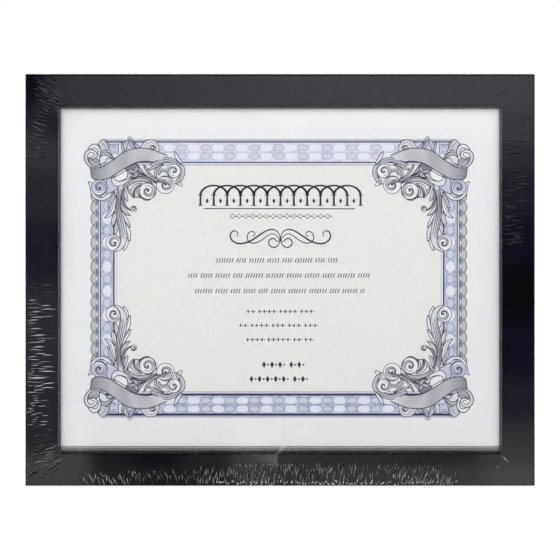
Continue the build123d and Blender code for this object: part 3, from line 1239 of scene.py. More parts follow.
UPPER_BAND = BandTone("#dde0ec", "#fbfbfd", "#d3d6e5", "#a9aec4")
LOWER_BAND = BandTone("#d6dbe9", "#ffffff", "#ced4e4", "#8d94b3")


@dataclass
class Border:
    """The straight bands between the corners: lilac tint between ruled lines, and lace outside."""

    plate: Plate
    half_width: float = 111.5
    band_top: float = 85.0
    band_foot: float = 72.8
    side_inner: float = 103.6
    side_outer: float = 111.0
    repeat: float = 15.2
    # heights of the two rows of ovals in a level band, and the middle of an upright one
    rows: Point = (81.7, 76.35)
    side_middle: float = 107.3
    # the line between the two rows: its height, and half of its length
    divider: float = 78.85
    divider_half: float = 104.0
    side_shift: float = -0.3
    lattice_pitch: float = 0.8
    lozenge: float = 0.62
    # the lace: its foot, the notches and tips of its scallops, and the height of one
    lace_foot: float = 112.7
    lace_notch: float = 115.45
    lace_tip: float = 117.45
    lace_half: float = 55.6
    scallop: float = 7.415

    def rule(self, half_x: float, half_z: float, width: float, colour: str, upright: bool = False) -> None:
        """Draw two sides of a ruled rectangle.

        Args:
            half_x: Half of the rectangle's width.
            half_z: Half of its height.
            width: Width of the line.
            colour: Hex colour.
            upright: Whether they are its left and right sides, not its upper and lower ones.
        """
        for sign in (-1.0, 1.0):
            if upright:
                self.plate.line(((sign * half_x, -half_z), (sign * half_x, half_z)), width, colour)
            else:
                self.plate.line(((-half_x, sign * half_z), (half_x, sign * half_z)), width, colour)

    def tint(self) -> None:
        """Lay the lilac tint of the lower band and the two sides."""
        self.plate.box(-self.half_width, -self.band_foot, self.half_width, -self.band_top)
        for sign in (-1.0, 1.0):
            self.plate.box(sign * self.side_inner, -self.band_foot, sign * self.side_outer, self.band_foot)

    def upper_tint(self) -> None:
        """Lay the paler tint of the upper band."""
        self.plate.box(-self.half_width, self.band_foot, self.half_width, self.band_top)

    def lattice(self, centre: Point, half: Point, colour: str) -> None:
        """Set pale lozenges on a slanted lattice inside an oval.

        Args:
            centre: Middle of the oval.
            half: Half of its width and half of its height.
            colour: Hex colour of the lozenges.
        """
        pitch = self.lattice_pitch
        size = pitch * self.lozenge
        columns, rows = (int(reach / pitch) + 1 for reach in half)
        for column in range(-columns, columns + 1):
            for row in range(-rows, rows + 1):
                across, up = column * pitch, row * pitch
                if (column + row) % 2 or (across / half[0]) ** 2 + (up / half[1]) ** 2 > 1.0:
                    continue
                self.plate.lozenge((centre[0] + across, centre[1] + up), size, size, colour)

    def ovals(self) -> list[tuple[Point, Point, bool, BandTone]]:
        """List the ovals of the four bands.

        Returns:
            Of each, its centre, half of its width and height, whether it is latticed, and its tones.
        """
        found: list[tuple[Point, Point, bool, BandTone]] = []
        for number in range(-13, 14):
            across = number * 0.5 * self.repeat
            along = across + self.side_shift
            latticed = bool(number % 2)
            level_half, upright_half = ((3.9, 2.3), (2.8, 3.5)) if latticed else ((3.3, 1.9), (2.3, 2.9))
            for sign, tone in ((1.0, UPPER_BAND), (-1.0, LOWER_BAND)):
                found.extend(((across, sign * row), level_half, latticed, tone) for row in self.rows)
                if abs(along) < self.band_foot - upright_half[1]:
                    found.append(((sign * self.side_middle, along), upright_half, latticed, LOWER_BAND))
        return found

    def guilloche(self) -> None:
        """Set latticed and plain ovals in turn along the four bands."""
        sides, line, divide = 16, 0.42, 0.24
        self.plate.above()
        for centre, half, latticed, tone in self.ovals():
            self.plate.disc(centre, half[0], tone.patch if latticed else tone.oval, half[1] / half[0], sides)
        self.plate.above()
        for centre, half, latticed, tone in self.ovals():
            if latticed:
                self.lattice(centre, half, tone.dot)
            else:
                self.plate.loop(centre, half[0], line, tone.edge, half[1] / half[0], sides)
        for sign, tone in ((1.0, UPPER_BAND), (-1.0, LOWER_BAND)):
            ends = ((-self.divider_half, sign * self.divider), (self.divider_half, sign * self.divider))
            self.plate.line(ends, divide, tone.edge)

    def lace(self) -> None:
        """Draw the scalloped edging outside the upright bands."""
        foot, notch, tip = self.lace_foot, self.lace_notch, self.lace_tip
        reach = 0.5 * self.scallop
        levels = [number * self.scallop for number in range(-7, 8)]
        turns = [math.pi * step / 10.0 for step in range(11)]
        arc = [(notch + (tip - notch) * math.sin(turn), -reach * math.cos(turn)) for turn in turns]
        self.plate.flips = ((1.0, 1.0), (-1.0, 1.0))
        self.plate.above()
        for level in levels:
            edge = [(x, level + rise) for x, rise in arc]
            self.plate.fill([(foot, level - reach)] + edge + [(foot, level + reach)], "#c3c6c4")
        self.plate.above()
        for level in levels:
            self.plate.box(foot, level - reach, foot + 1.5, level + reach, "#878a94")
        self.plate.above()
        for level in levels:
            self.plate.disc((foot + 0.8, level), 0.6, "#e9ebef", 3.2, 14)
        self.plate.above()
        for level in levels:
            self.plate.line([(x, level + rise) for x, rise in arc], 0.58, "#66696e")
            for sign in (-1.0, 1.0):
                end, inner = level + sign * reach, level + sign * (reach - 1.6)
                self.plate.line(((foot, level), (notch, end)), 0.42, "#5f616d")
                self.plate.fill(((foot, end), (foot + 1.9, end), (foot, inner)), "#6a6c85")
        self.plate.line(((foot, -self.lace_half), (foot, self.lace_half)), 0.4, "#83868f")
        self.plate.flips = ((1.0, 1.0),)

    def lines(self) -> None:
        """Draw the ruled lines of the four bands, a pale one beside each dark one."""
        self.plate.above()
        self.rule(111.5, 86.4, 1.35, "#b9bbc4")
        self.rule(103.2, 71.0, 1.1, "#c6c6d2")
        self.rule(112.2, 86.0, 0.4, "#eceef2", upright=True)
        self.rule(101.5, 70.2, 0.3, "#a79aae", upright=True)
        self.plate.above()
        self.rule(111.6, 85.35, 0.9, Line.SLATE)
        self.rule(103.1, 72.5, 0.84, Line.SLATE)
        self.plate.above()
        for level in (-72.6, -85.1):
            self.plate.line(((-111.6, level), (111.6, level)), 1.35, "#171b45")
        self.plate.above()
        self.rule(111.55, 85.35, 0.75, Line.NAVY, upright=True)
        self.rule(103.1, 72.5, 0.95, "#2e315a", upright=True)


@dataclass
class Wording:
    """The middle of the sheet, where words would stand: friezes, a divider and rows of plain ornament.

    It is set out in pixels of the photograph, counted right and down.
    """

    plate: Plate
    scale: float = 0.6257
    centre_u: float = 278.8
    centre_v: float = 278.4
    seed: int = 17
    # left, upper, right and lower edge of the heading, and the ends of the line and the row below it
    heading: tuple[float, float, float, float] = (200.5, 185.6, 360.5, 205.8)
    underline: tuple[Point, Point] = ((204.0, 208.6), (355.0, 208.9))
    small_row: tuple[Point, Point] = ((229.0, 216.2), (331.0, 216.2))
    bays: int = 12
    lozenge_count: int = 15
    # the divider's middle, and the column that its right-hand strokes were set out from
    divider_u: float = 280.4
    stroke_u: float = 279.9
    # left end, right end and middle of each row
    rope_rows: Rows = ((217.0, 343.0, 260.4), (189.0, 372.0, 275.6), (196.0, 365.0, 291.0))
    small_beads: Rows = ((247.0, 314.0, 311.4), (239.5, 321.0, 325.4), (246.5, 314.0, 339.6))
    large_beads: Rows = ((262.0, 304.5, 364.6), (249.5, 312.0, 379.0))

    def at(self, u: float, v: float) -> Point:
        """Turn a place in the photograph into a place on the print."""
        return ((u - self.centre_u) * self.scale, (self.centre_v - v) * self.scale)

    def arcade(self) -> None:
        """Draw the heading's frieze: an interlaced arcade on slim columns, with a lozenge in each bay."""
        left, top = self.at(*self.heading[:2])
        right, foot = self.at(*self.heading[2:])
        pitch = (right - left) / self.bays
        spring = foot + 0.52 * (top - foot)
        rise = top - spring
        turns = [math.pi * step / 16.0 for step in range(17)]
        columns = [left + pitch * number for number in range(self.bays + 1)]
        wide, slim = 0.68, 0.56
        self.plate.above()
        for x in columns:
            shaft = ((x - wide, foot), (x + wide, foot), (x + slim, spring), (x - slim, spring))
            self.plate.fill(shaft, Line.BLACK)
        for x in columns[:-2]:
            arch = [(x + pitch * (1.0 - math.cos(turn)), spring + rise * math.sin(turn)) for turn in turns]
            self.plate.line(arch, 1.05, Line.BLACK, -0.6)
        self.plate.above()
        for x in columns:
            for level in (foot + 0.17, spring):
                self.plate.line(((x - 1.6, level), (x + 1.6, level)), 0.42, Line.BLACK)
        for x in columns[:-1]:
            self.plate.lozenge((x + 0.5 * pitch, foot + 0.24 * (top - foot)), 0.95, 1.7, Line.BLACK)

    def lozenges(self) -> None:
        """Draw the small row below the heading: open lozenges with a dot between each two."""
        (left, level), (right, _) = (self.at(*end) for end in self.small_row)
        pitch = (right - left) / self.lozenge_count
        half = 1.5
        for number in range(self.lozenge_count):
            x = left + pitch * (number + 0.5)
            corners = [(x - half, level), (x, level - half), (x + half, level), (x, level + half)]
            self.plate.line(corners + corners[:2], 0.44, Line.GREY)
            self.plate.disc((x + pitch * 0.5, level), 0.45, Line.GREY, 1.0, 8)

    def pen(self, width: float, taper: float, points: Path) -> None:
        """Draw a pen stroke to the right of the divider's middle, and its mirror image to the left.

        Args:
            width: Its full width in millimetres.
            taper: How much of the width is lost toward both ends.
            points: Its path in the photograph.
        """
        middle, _ = self.at(self.divider_u, self.centre_v)
        path = curve(
            [((u - self.stroke_u) * self.scale, (self.centre_v - v) * self.scale) for u, v in points]
        )
        for side in (1.0, -1.0):
            self.plate.line([(middle + side * x, z) for x, z in path], width, Line.BLACK, taper)

    def flourish(self) -> None:
        """Draw the divider of scrolled pen strokes, the same on both sides of the middle."""
        self.plate.above()
        self.pen(1.02, 0.62, (
            (280.0, 239.0), (281.5, 233.5), (285.0, 230.2), (290.0, 229.6), (296.0, 232.0), (302.0, 236.0),
            (309.0, 240.5), (316.0, 243.2), (323.0, 243.4), (328.5, 240.0), (330.0, 235.0), (327.5, 231.2),
            (324.2, 231.2), (322.4, 234.0), (323.4, 236.6),
        ))
        self.pen(0.66, 0.4, (
            (280.2, 240.5), (283.5, 236.0), (288.0, 233.8), (293.0, 236.0), (299.0, 240.4), (305.0, 243.0),
            (310.5, 242.4), (313.0, 238.6), (312.0, 233.6), (308.6, 231.4), (305.4, 233.4), (306.4, 236.2),
            (308.6, 235.6),
        ))
        self.pen(0.76, 0.35, (
            (280.2, 236.0), (280.4, 241.0), (282.6, 245.6), (286.4, 247.4), (290.4, 245.8), (291.6, 242.2),
            (289.4, 239.0), (285.8, 238.8), (283.8, 241.2), (281.0, 241.0),
        ))

    def rope(self, draw: random.Random, left: float, right: float, level: float) -> None:
        """Rule one row of slanted hatching, broken here and there.

        Args:
            draw: Source of the breaks.
            left: Its left end in the photograph.
            right: Its right end there.
            level: Its middle there.
        """
        x, z = self.at(left, level)
        end, _ = self.at(right, level)
        left_in_run = draw.randint(4, 7)
        while x < end - 0.9:
            if left_in_run == 0:
                x += 1.5
                left_in_run = draw.randint(4, 7)
                continue
            left_in_run -= 1
            points = ((x - 0.6, z - 1.3), (x - 0.12, z - 0.65), (x + 0.12, z + 0.65), (x + 0.6, z + 1.3))
            self.plate.line(curve(points), 0.52, "#1b1c1f")
            x += draw.uniform(1.5, 1.7)

    def beads(self, draw: random.Random, row: tuple[float, float, float], height: float, colour: str) -> None:
        """Set one row of lozenges and beads in turn, broken here and there.

        Args:
            draw: Source of the breaks.
            row: Left end, right end and middle in the photograph.
            height: Height of the row in millimetres.
            colour: Hex colour.
        """
        x, z = self.at(row[0], row[2])
        end, _ = self.at(row[1], row[2])
        wide, tall = 0.3 * height, 0.5 * height
        left_in_run = draw.randint(2, 5)
        while x < end - 2.0 * wide:
            if left_in_run == 0:
                x += wide * 1.5
                left_in_run = draw.randint(2, 5)
                continue
            left_in_run -= 1
            self.plate.lozenge((x + wide, z), wide, tall, colour)
            self.plate.disc((x + 3.0 * wide, z), 0.5 * wide, colour, 1.0, 8)
            x += wide * 4.0

    def draw(self) -> None:
        """Draw the friezes, the divider and the rows of hatching, lozenges and beads."""
        chance = random.Random(self.seed)
        self.arcade()
        self.plate.line([self.at(*end) for end in self.underline], 0.6, "#2a2b2e")
        self.lozenges()
        self.flourish()
        for row in self.rope_rows:
            self.rope(chance, *row)
        for row in self.small_beads:
            self.beads(chance, row, 2.5, "#47484b")
        for row in self.large_beads:
            self.beads(chance, row, 4.2, "#1b1c1e")


@dataclass
class Certificate:
    """The printed sheet behind the glass."""

    print_x: float = -0.78
    print_z: float = 127.91
    thickness: float = 0.05
    ground_half: Point = (101.4, 70.1)
    # left, lower, right and upper edge of a grey strip along the sheet's foot, darker than the paper
    foot_grey_strip: tuple[float, float, float, float] = (-138.6, -105.6, 140.1, -104.8)

    def paper(self) -> bpy.types.Object:
        """Cut the sheet: as wide and high as its CAD node, at the back half of its thickness.

        Returns:
            The sheet, which stands for the node.
        """
        low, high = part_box("certificate_sheet")
        middle = [0.5 * (a + b) for a, b in zip(low, high)]
        middle[1] = high[1] - metres(0.5 * self.thickness)
        deselect()
        bpy.ops.mesh.primitive_cube_add(size=1.0, location=middle)
        sheet = bpy.context.object
        sheet.name = sheet.data.name = "certificate_paper"
        sheet.scale = (high[0] - low[0], metres(self.thickness), high[2] - low[2])
        bpy.ops.object.transform_apply(location=True, rotation=False, scale=True)
        cut_edge = sheet.modifiers.new("cut_edge", "BEVEL")
        cut_edge.width = metres(self.thickness * 0.2)
        cut_edge.segments = 1
        bpy.ops.object.modifier_apply(modifier=cut_edge.name)
        sheet.data.materials.append(PAPER.material())
        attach(sheet, FRAME_BODY)
        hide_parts("certificate_sheet")
        return sheet

    def plate(self, face: float, level: int) -> Plate:
        """Start a plate at a level above the paper's face."""
        return Plate(self.print_x, self.print_z, face, level=level)

    def build(self) -> None:
        """Make the sheet and print it, tint first, then the border, the middle and the corners."""
        sheet = self.paper()
        low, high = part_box("certificate_sheet")
        face = high[1] / MILLIMETRE - self.thickness
        ground, tint, upper, lines = (self.plate(face, level) for level in (1, 2, 2, 3))
        half_x, half_z = self.ground_half
        ground.box(-half_x, -half_z, half_x, half_z)
        Border(tint).tint()
        Border(upper).upper_tint()
        border = Border(lines)
        border.guilloche()
        border.lines()
        border.lace()
        Wording(lines).draw()
        # a grey strip, darker than the paper, along the sheet's foot
        lines.box(*self.foot_grey_strip, "#868786")
        corners = self.plate(face, lines.level + 1)
        corners.flips = ((1.0, 1.0), (-1.0, 1.0), (1.0, -1.0), (-1.0, -1.0))
        CornerOrnament(corners).draw()
        LOG.info("print has %d levels", corners.level)
        pieces = [
            plate.press(name, finish)
            for plate, name, finish in (
                (ground, "print_ivory_ground", IVORY),
                (tint, "print_lilac_bands", LILAC),
                (upper, "print_upper_band", PALE_LILAC),
                (lines, "print_border_and_middle", INK),
                (corners, "print_corner_ornaments", INK),
            )
        ]


# The frame's own pieces


@dataclass
class Moulding:
    """The four mitred lengths with the nails that hold their corners."""

    rails: tuple[str, ...] = ("rail_bottom", "rail_left", "rail_top", "rail_right")

    def dress(self) -> None:
        """Give the lengths their satin black, and the nails their steel."""
        MOULDING.dress(*self.rails)
        ZINC.dress("corner_v_nails")


@dataclass
class Stack:
    """What lies in the rebate: glass, filler and backing board."""

    def dress(self) -> None:
        """Give each layer its finish."""
        GLASS.dress("glass_pane")
        LINER.dress("filler_pad")
        HARDBOARD.dress("backing_board")


@dataclass
class Easel:
    """The leg with its riveted hinge."""

    def dress(self) -> None:
        """Give the leg its paint, and the hinge its plating."""
        LEG_BOARD.dress("easel_leg")
        ZINC.dress("hinge_leaf_board", "hinge_leaf_leg")
        NICKEL.dress("hinge_pin", "hinge_rivets_board", "hinge_rivets_leg")


@dataclass
class Hardware:
    """Hangers, turn buttons and their screws."""

    sides: tuple[str, ...] = ("top_left", "top_right", "bottom_left", "bottom_right", "left", "right")

    def dress(self) -> None:
        """Give the stamped parts zinc, the rings bright wire and the fasteners nickel."""
        ZINC.dress("hanger_strap_top", "hanger_strap_side", *(f"turn_button_{side}" for side in self.sides))
        WIRE.dress("hanger_ring_top", "hanger_ring_side")
        NICKEL.dress("hanger_rivets", "turn_button_screws")


# The film


@dataclass(frozen=True)
class CreaseZone:
    """An area of the film's front where the heat left creases.

    Its area and their lengths are in pixels of the photograph, counted right and down, and their widths
    in millimetres. Light and dark are the shares of painted highlight on one flank of a crease and of
    painted shade on its other flank.
    """

    area: tuple[float, float, float, float]
    count: int
    angle: float
    spread: float
    length: Point
    light: Point
    dark: Point
    width: Point = (0.38, 0.62)


@dataclass
class ShrinkFilm:
    """The clear film: a tight skin over front and sides, turned in at the back, creased by the heat."""

    hem: float = 5.0
    fold_radius: float = 0.5
    # what tells the back face and the long edges from the soft corners, in square metres and metres
    large_area: float = 1e-3
    long_edge: float = 0.1
    hem_ripple: float = 1.1
    hem_cuts: int = 60
    crease_rise: float = 0.06
    crease_stations: int = 7
    crease_margin: float = 0.6
    # room between the film's front and what is drawn on it
    crease_gap: float = 0.004
    painted_patch_gap: float = 0.003
    # a pixel's size, and the column and row of the frame's middle
    pixel: float = PIXEL
    centre_u: float = CENTRE_U
    centre_v: float = 279.45
    middle_z: float = 127.3
    # left, upper, right and lower edge of the front, and how wide the painted shade strips at the first three
    # are
    front_edges: tuple[float, float, float, float] = (25.7, 74.7, 533.6, 484.0)
    edge_shade_widths: Place = (1.1, 1.0, 1.3)
    # share of painted shade on those strips
    edge_painted_shade: float = 0.6
    # left and right end of the lips
    lip_ends: Point = (61.0, 499.0)
    # upper edge, lower edge and share of painted shade of the strips where the film leaves the lips
    lip_painted_shades: Rows = ((450.3, 453.4, 0.45), (105.8, 109.0, 0.3))

    def zones(self) -> list[CreaseZone]:
        """List the creased areas, from the upper left corner round the frame.

        Returns:
            The areas, each with what its creases are like.
        """
        rows = (
            ((35, 79, 56, 98), 24, -26, 6, (8, 13), (0.01, 0.05), (0.5, 0.85), (0.6, 0.9)),
            ((42, 90, 60, 112), 26, -30, 6, (8, 13), (0.02, 0.07), (0.55, 0.9), (0.6, 0.9)),
            ((28, 112, 45, 160), 20, -16, 6, (8, 17), (0.02, 0.07), (0.6, 0.9), (0.55, 0.85)),
            ((27, 160, 50, 300), 34, -4, 8, (4, 11), (0.006, 0.022), (0.2, 0.5)),
            ((27, 300, 50, 392), 48, 1, 2, (8, 21), (0.12, 0.66), (0.6, 0.95), (0.27, 0.43)),
            ((27, 366, 38, 428), 28, 1, 4, (4, 10), (0.1, 0.46), (0.5, 0.9), (0.26, 0.42)),
            ((27, 282, 54, 345), 28, 1, 3, (6, 18), (0.01, 0.1), (0.4, 0.85), (0.27, 0.43)),
            ((34, 388, 50, 430), 10, 2, 3, (7, 14), (0.14, 0.5), (0.6, 0.9), (0.28, 0.44)),
            ((34, 434, 52, 446), 12, 22, 6, (6, 12), (0.03, 0.13), (0.5, 0.9), (0.28, 0.44)),
            ((46, 444, 60, 464), 12, 25, 3, (8, 14), (0.07, 0.26), (0.6, 0.95), (0.3, 0.46)),
            ((37, 458, 46, 465), 5, 22, 6, (5, 9), (0.08, 0.2), (0.5, 0.8)),
            ((30, 446, 58, 478), 22, 22, 7, (7, 14), (0.01, 0.06), (0.45, 0.8), (0.6, 0.9)),
            ((83, 473, 128, 483), 30, 108, 7, (6, 10), (0.12, 0.4), (0.6, 0.95)),
            ((131, 471, 141, 476), 5, 105, 7, (4, 6), (0.1, 0.25), (0.4, 0.8)),
            ((128, 469, 200, 483), 46, 102, 9, (4, 9), (0.05, 0.22), (0.5, 0.9), (0.34, 0.56)),
            ((198, 466, 230, 483), 34, 84, 9, (5, 11), (0.08, 0.3), (0.6, 0.95)),
            ((230, 465, 372, 482), 135, 84, 8, (5, 12), (0.05, 0.26), (0.6, 0.95)),
            ((232, 463, 300, 465), 26, 90, 20, (1.4, 2.6), (0.1, 0.3), (0.3, 0.6), (0.5, 0.7)),
            ((215, 480, 384, 484), 66, 85, 45, (1.8, 4.8), (0.4, 0.95), (0.5, 0.95)),
            ((384, 480, 456, 484), 26, 85, 45, (1.6, 3.8), (0.3, 0.8), (0.4, 0.9)),
            ((376, 464, 443, 472), 44, 88, 7, (4, 7.5), (0.06, 0.2), (0.4, 0.9)),
            ((392, 473, 451, 483), 50, 86, 14, (4, 9), (0.1, 0.4), (0.5, 0.95)),
            ((451, 470, 469, 476), 9, 92, 8, (4, 6), (0.04, 0.12), (0.3, 0.6)),
            ((502, 456, 504, 458), 1, -49, 1, (9.5, 10), (0.6, 0.65), (0.3, 0.4), (0.3, 0.32)),
            ((495, 464, 497, 466), 1, -52, 1, (6, 6.5), (0.35, 0.4), (0.3, 0.4), (0.25, 0.3)),
            ((484, 458, 499, 470), 8, -50, 8, (4, 7), (0.01, 0.04), (0.1, 0.4)),
            ((503, 137, 523, 246), 74, 2, 4, (8, 19), (0.015, 0.055), (0.5, 0.9), (0.42, 0.66)),
            ((518, 112, 531, 136), 14, 4, 9, (3, 7), (0.006, 0.02), (0.3, 0.6)),
            ((505, 126, 528, 153), 5, 50, 16, (4, 6), (0.0, 0.01), (0.8, 0.95), (0.4, 0.6)),
            ((505, 246, 530, 440), 16, 3, 8, (5, 12), (0.002, 0.01), (0.1, 0.4)),
            ((496, 82, 528, 106), 12, 34, 10, (3, 7), (0.003, 0.01), (0.1, 0.3)),
        )
        return [CreaseZone(*row) for row in rows]

    def place(self, u: float, v: float, front: float) -> Vector:
        """Turn a place in the photograph into a place on the film's front."""
        x, z = (u - self.centre_u) * self.pixel, self.middle_z - (v - self.centre_v) * self.pixel
        return Vector((metres(x), front, metres(z)))

    def shell(self) -> bpy.types.Object:
        """Wrap the film's skin round the frame: a box with soft corners, open at the back inside its hem.

        Returns:
            The skin.
        """
        low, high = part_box("shrink_film")
        middle = [0.5 * (a + b) for a, b in zip(low, high)]
        deselect()
        bpy.ops.mesh.primitive_cube_add(size=1.0, location=middle)
        film = bpy.context.object
        film.name = film.data.name = "shrink_film_skin"
        film.scale = tuple(b - a for a, b in zip(low, high))
        bpy.ops.object.transform_apply(location=True, rotation=False, scale=True)
        soft = film.modifiers.new("soft_corner", "BEVEL")
        soft.width = metres(self.fold_radius)
        soft.segments = 3
        bpy.ops.object.modifier_apply(modifier=soft.name)
        bpy.ops.object.mode_set(mode="EDIT")
        work = bmesh.from_edit_mesh(film.data)
        for face in work.faces:
            face.select_set(face.normal.y > 0.99 and face.calc_area() > self.large_area)
        bmesh.update_edit_mesh(film.data)
        bpy.ops.mesh.inset(thickness=metres(self.hem - self.fold_radius))
        bpy.ops.mesh.delete(type="FACE")
        work = bmesh.from_edit_mesh(film.data)
        for edge in work.edges:
            edge.select_set(edge.calc_length() > self.long_edge)
        bmesh.update_edit_mesh(film.data)
        bpy.ops.mesh.subdivide(number_cuts=self.hem_cuts)
        bpy.ops.object.mode_set(mode="OBJECT")
        self.gather_hem(film, high[1])
        film.data.materials.append(FILM.material())
        return film

    def gather_hem(self, film: bpy.types.Object, back: float) -> None:
        """Let the film's free edge at the back run in and out, as shrunk film does.

        Args:
            film: The film's skin.
            back: Y of its back.
        """
        inner_x = max(abs(corner.co.x) for corner in film.data.vertices) - metres(self.hem)
        low_z = metres(self.hem)
        high_z = max(corner.co.z for corner in film.data.vertices) - low_z
        for corner in film.data.vertices:
            place = corner.co
            on_side = abs(abs(place.x) - inner_x) < NEAR
            on_end = min(abs(place.z - low_z), abs(place.z - high_z)) < NEAR
            if place.y < back - NEAR or not (on_side or on_end):
                continue
            wander = noise.noise(Vector((place.x, 0.0, place.z)) * 90.0)
            wander += 0.5 * noise.noise(Vector((place.x, 3.0, place.z)) * 320.0)
            if on_side:
                place.x += math.copysign(metres(self.hem_ripple), place.x) * wander
            if on_end:
                place.z += metres(self.hem_ripple) * wander

    def crease(
        self,
        mesh: bmesh.types.BMesh,
        start: Vector,
        turn: float,
        length: float,
        flank: float,
        bow: float,
        light: float,
        dark: float,
    ) -> None:
        """Raise one crease: a spindle with a painted highlight on its flank above and painted shade on its
        flank below.

        Args:
            mesh: Mesh that gets it.
            start: Its first point.
            turn: Its direction from X toward Z, in radians.
            length: Its length.
            flank: Greatest width of one flank.
            bow: How far it bends, as a share of its length.
            light: Share of painted highlight on the flank above.
            dark: Share of painted shade on the flank below.
        """
        painted_light_shares = mesh.loops.layers.float_color["painted_light_shares"]
        along = Vector((math.cos(turn), 0.0, math.sin(turn)))
        side = Vector((-math.sin(turn), 0.0, math.cos(turn)))
        out = Vector((0.0, -metres(self.crease_rise), 0.0))
        rows: list[tuple[float, list[bmesh.types.BMVert]]] = []
        for station in range(self.crease_stations):
            share = station / (self.crease_stations - 1)
            swell = max(math.sin(math.pi * share), 0.04) ** 0.8
            centre = start + along * (length * share) + side * (bow * length * math.sin(math.pi * share))
            row = [
                mesh.verts.new(centre + side * (flank * swell * across) + out * (swell * rise))
                for across, rise in ((-1.0, 0.0), (-0.6, 0.5), (0.0, 1.0), (0.6, 0.5), (1.0, 0.0))
            ]
            rows.append((swell, row))
        # painted shade on the flank below, painted highlight on the flank above
        clear, shaded, lit = (0.0, 0.0), (0.0, dark), (light, 0.0)
        flanks = ((clear, shaded), (shaded, shaded), (lit, lit), (lit, clear))
        for (near, first), (far, second) in zip(rows, rows[1:]):
            for number, (lower, upper) in enumerate(flanks):
                face = mesh.faces.new((first[number], second[number], second[number + 1], first[number + 1]))
                tints = ((lower, near), (lower, far), (upper, far), (upper, near))
                for loop, (shares, swell) in zip(face.loops, tints):
                    loop[painted_light_shares] = (shares[0] * swell, shares[1] * swell, 0.0, 1.0)

    def painted_light_patch(self, mesh: bmesh.types.BMesh, front: float, corners: Rows, dark: float = 0.0) -> None:
        """Lay a flat patch of painted light on the film's front: painted highlight, painted shade or both.

        Args:
            mesh: Mesh that gets it.
            front: Y of the patch, in metres.
            corners: Place in the photograph, and the share of painted highlight there.
            dark: Share of painted shade over the patch.
        """
        painted_light_shares = mesh.loops.layers.float_color["painted_light_shares"]
        face = mesh.faces.new([mesh.verts.new(self.place(u, v, front)) for u, v, _ in corners])
        for loop, (_, _, share) in zip(face.loops, corners):
            loop[painted_light_shares] = (share, dark, 0.0, 1.0)

    def keep_on(self, start: Vector, end: Vector, margin: float) -> Vector:
        """Slide a crease along until both of its ends lie on the film's flat front.

        Args:
            start: Its first end.
            end: Its other end.
            margin: Room to the film's outer edge, in metres.

        Returns:
            The first end after the slide.
        """
        low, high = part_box("shrink_film")
        slid = start.copy()
        for axis in (0, 2):
            least, most = min(start[axis], end[axis]), max(start[axis], end[axis])
            if least < low[axis] + margin:
                slid[axis] += low[axis] + margin - least
            elif most > high[axis] - margin:
                slid[axis] -= most - high[axis] + margin
        return slid

    def creases(self, front: float) -> bpy.types.Object:
        """Raise the creases on the film's front.

        Args:
            front: Y of the film's front, in metres.

        Returns:
            The creases as one piece.
        """
        mesh = bmesh.new()
        mesh.loops.layers.float_color.new("painted_light_shares")
        for seed, zone in enumerate(self.zones()):
            draw = random.Random(seed)
            left, top, right, foot = zone.area
            for number in range(zone.count):
                # spread evenly along the zone's longer side
                across, down = draw.random(), (number + draw.random()) / zone.count
                if right - left > foot - top:
                    across, down = down, across
                u, v = left + across * (right - left), top + down * (foot - top)
                centre = self.place(u, v, front - metres(self.crease_gap))
                turn = math.radians(draw.gauss(zone.angle, zone.spread))
                along = Vector((math.cos(turn), 0.0, math.sin(turn)))
                length = metres(draw.uniform(*zone.length) * self.pixel)
                start = centre - along * (0.5 * length)
                start = self.keep_on(start, start + along * length, metres(self.crease_margin))
                flank, bow = metres(draw.uniform(*zone.width)), draw.uniform(-0.05, 0.05)
                # shares of painted highlight and painted shade
                light, dark = draw.uniform(*zone.light), draw.uniform(*zone.dark)
                self.crease(mesh, start, turn, length, flank, bow, light, dark)
        # painted shade: dark strips along the upper edge and both sides of the front
        left, top, right, foot = self.front_edges
        at_left, at_top, at_right = self.edge_shade_widths
        strips = [
            (left, top, left + at_left, foot, self.edge_painted_shade),
            (right - at_right, top, right, foot, self.edge_painted_shade),
            (left, top, right, top + at_top, self.edge_painted_shade),
        ]
        # painted shade: dark strips where the film leaves the lower and the upper lip
        left, right = self.lip_ends
        strips += [(left, top, right, foot, dark) for top, foot, dark in self.lip_painted_shades]
        level = front - metres(self.painted_patch_gap)
        for left, top, right, foot, dark in strips:
            corners = ((left, top, 0.0), (left, foot, 0.0), (right, foot, 0.0), (right, top, 0.0))
            self.painted_light_patch(mesh, level, corners, dark)
        # one pleat runs from the window down over the lower moulding, with a painted highlight along it
        self.painted_light_patch(mesh, level, ((246, 452, 0.0), (254, 460, 0.0), (277, 459, 0.07), (277, 452, 0.04)))
        self.painted_light_patch(mesh, level, ((254, 460, 0.0), (260, 471, 0.0), (277, 471, 0.0), (277, 459, 0.07)))
        self.painted_light_patch(mesh, level, ((284, 441, 0.22), (275, 453, 0.06), (279, 453, 0.08), (290, 441, 0.22)))
        self.painted_light_patch(mesh, level, ((284, 441, 0.22), (290, 441, 0.22), (284, 424, 0.0), (280, 424, 0.0)))
        return piece_of(mesh, "shrink_film_creases_and_painted_light", FILM_PAINTED_LIGHT)

    def build(self) -> None:
        """Make the film and its creases."""
        low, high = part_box("shrink_film")
        skin = self.shell()
        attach(skin, FRAME_BODY)
        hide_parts("shrink_film")
        folds = self.creases(low[1])


# The studio


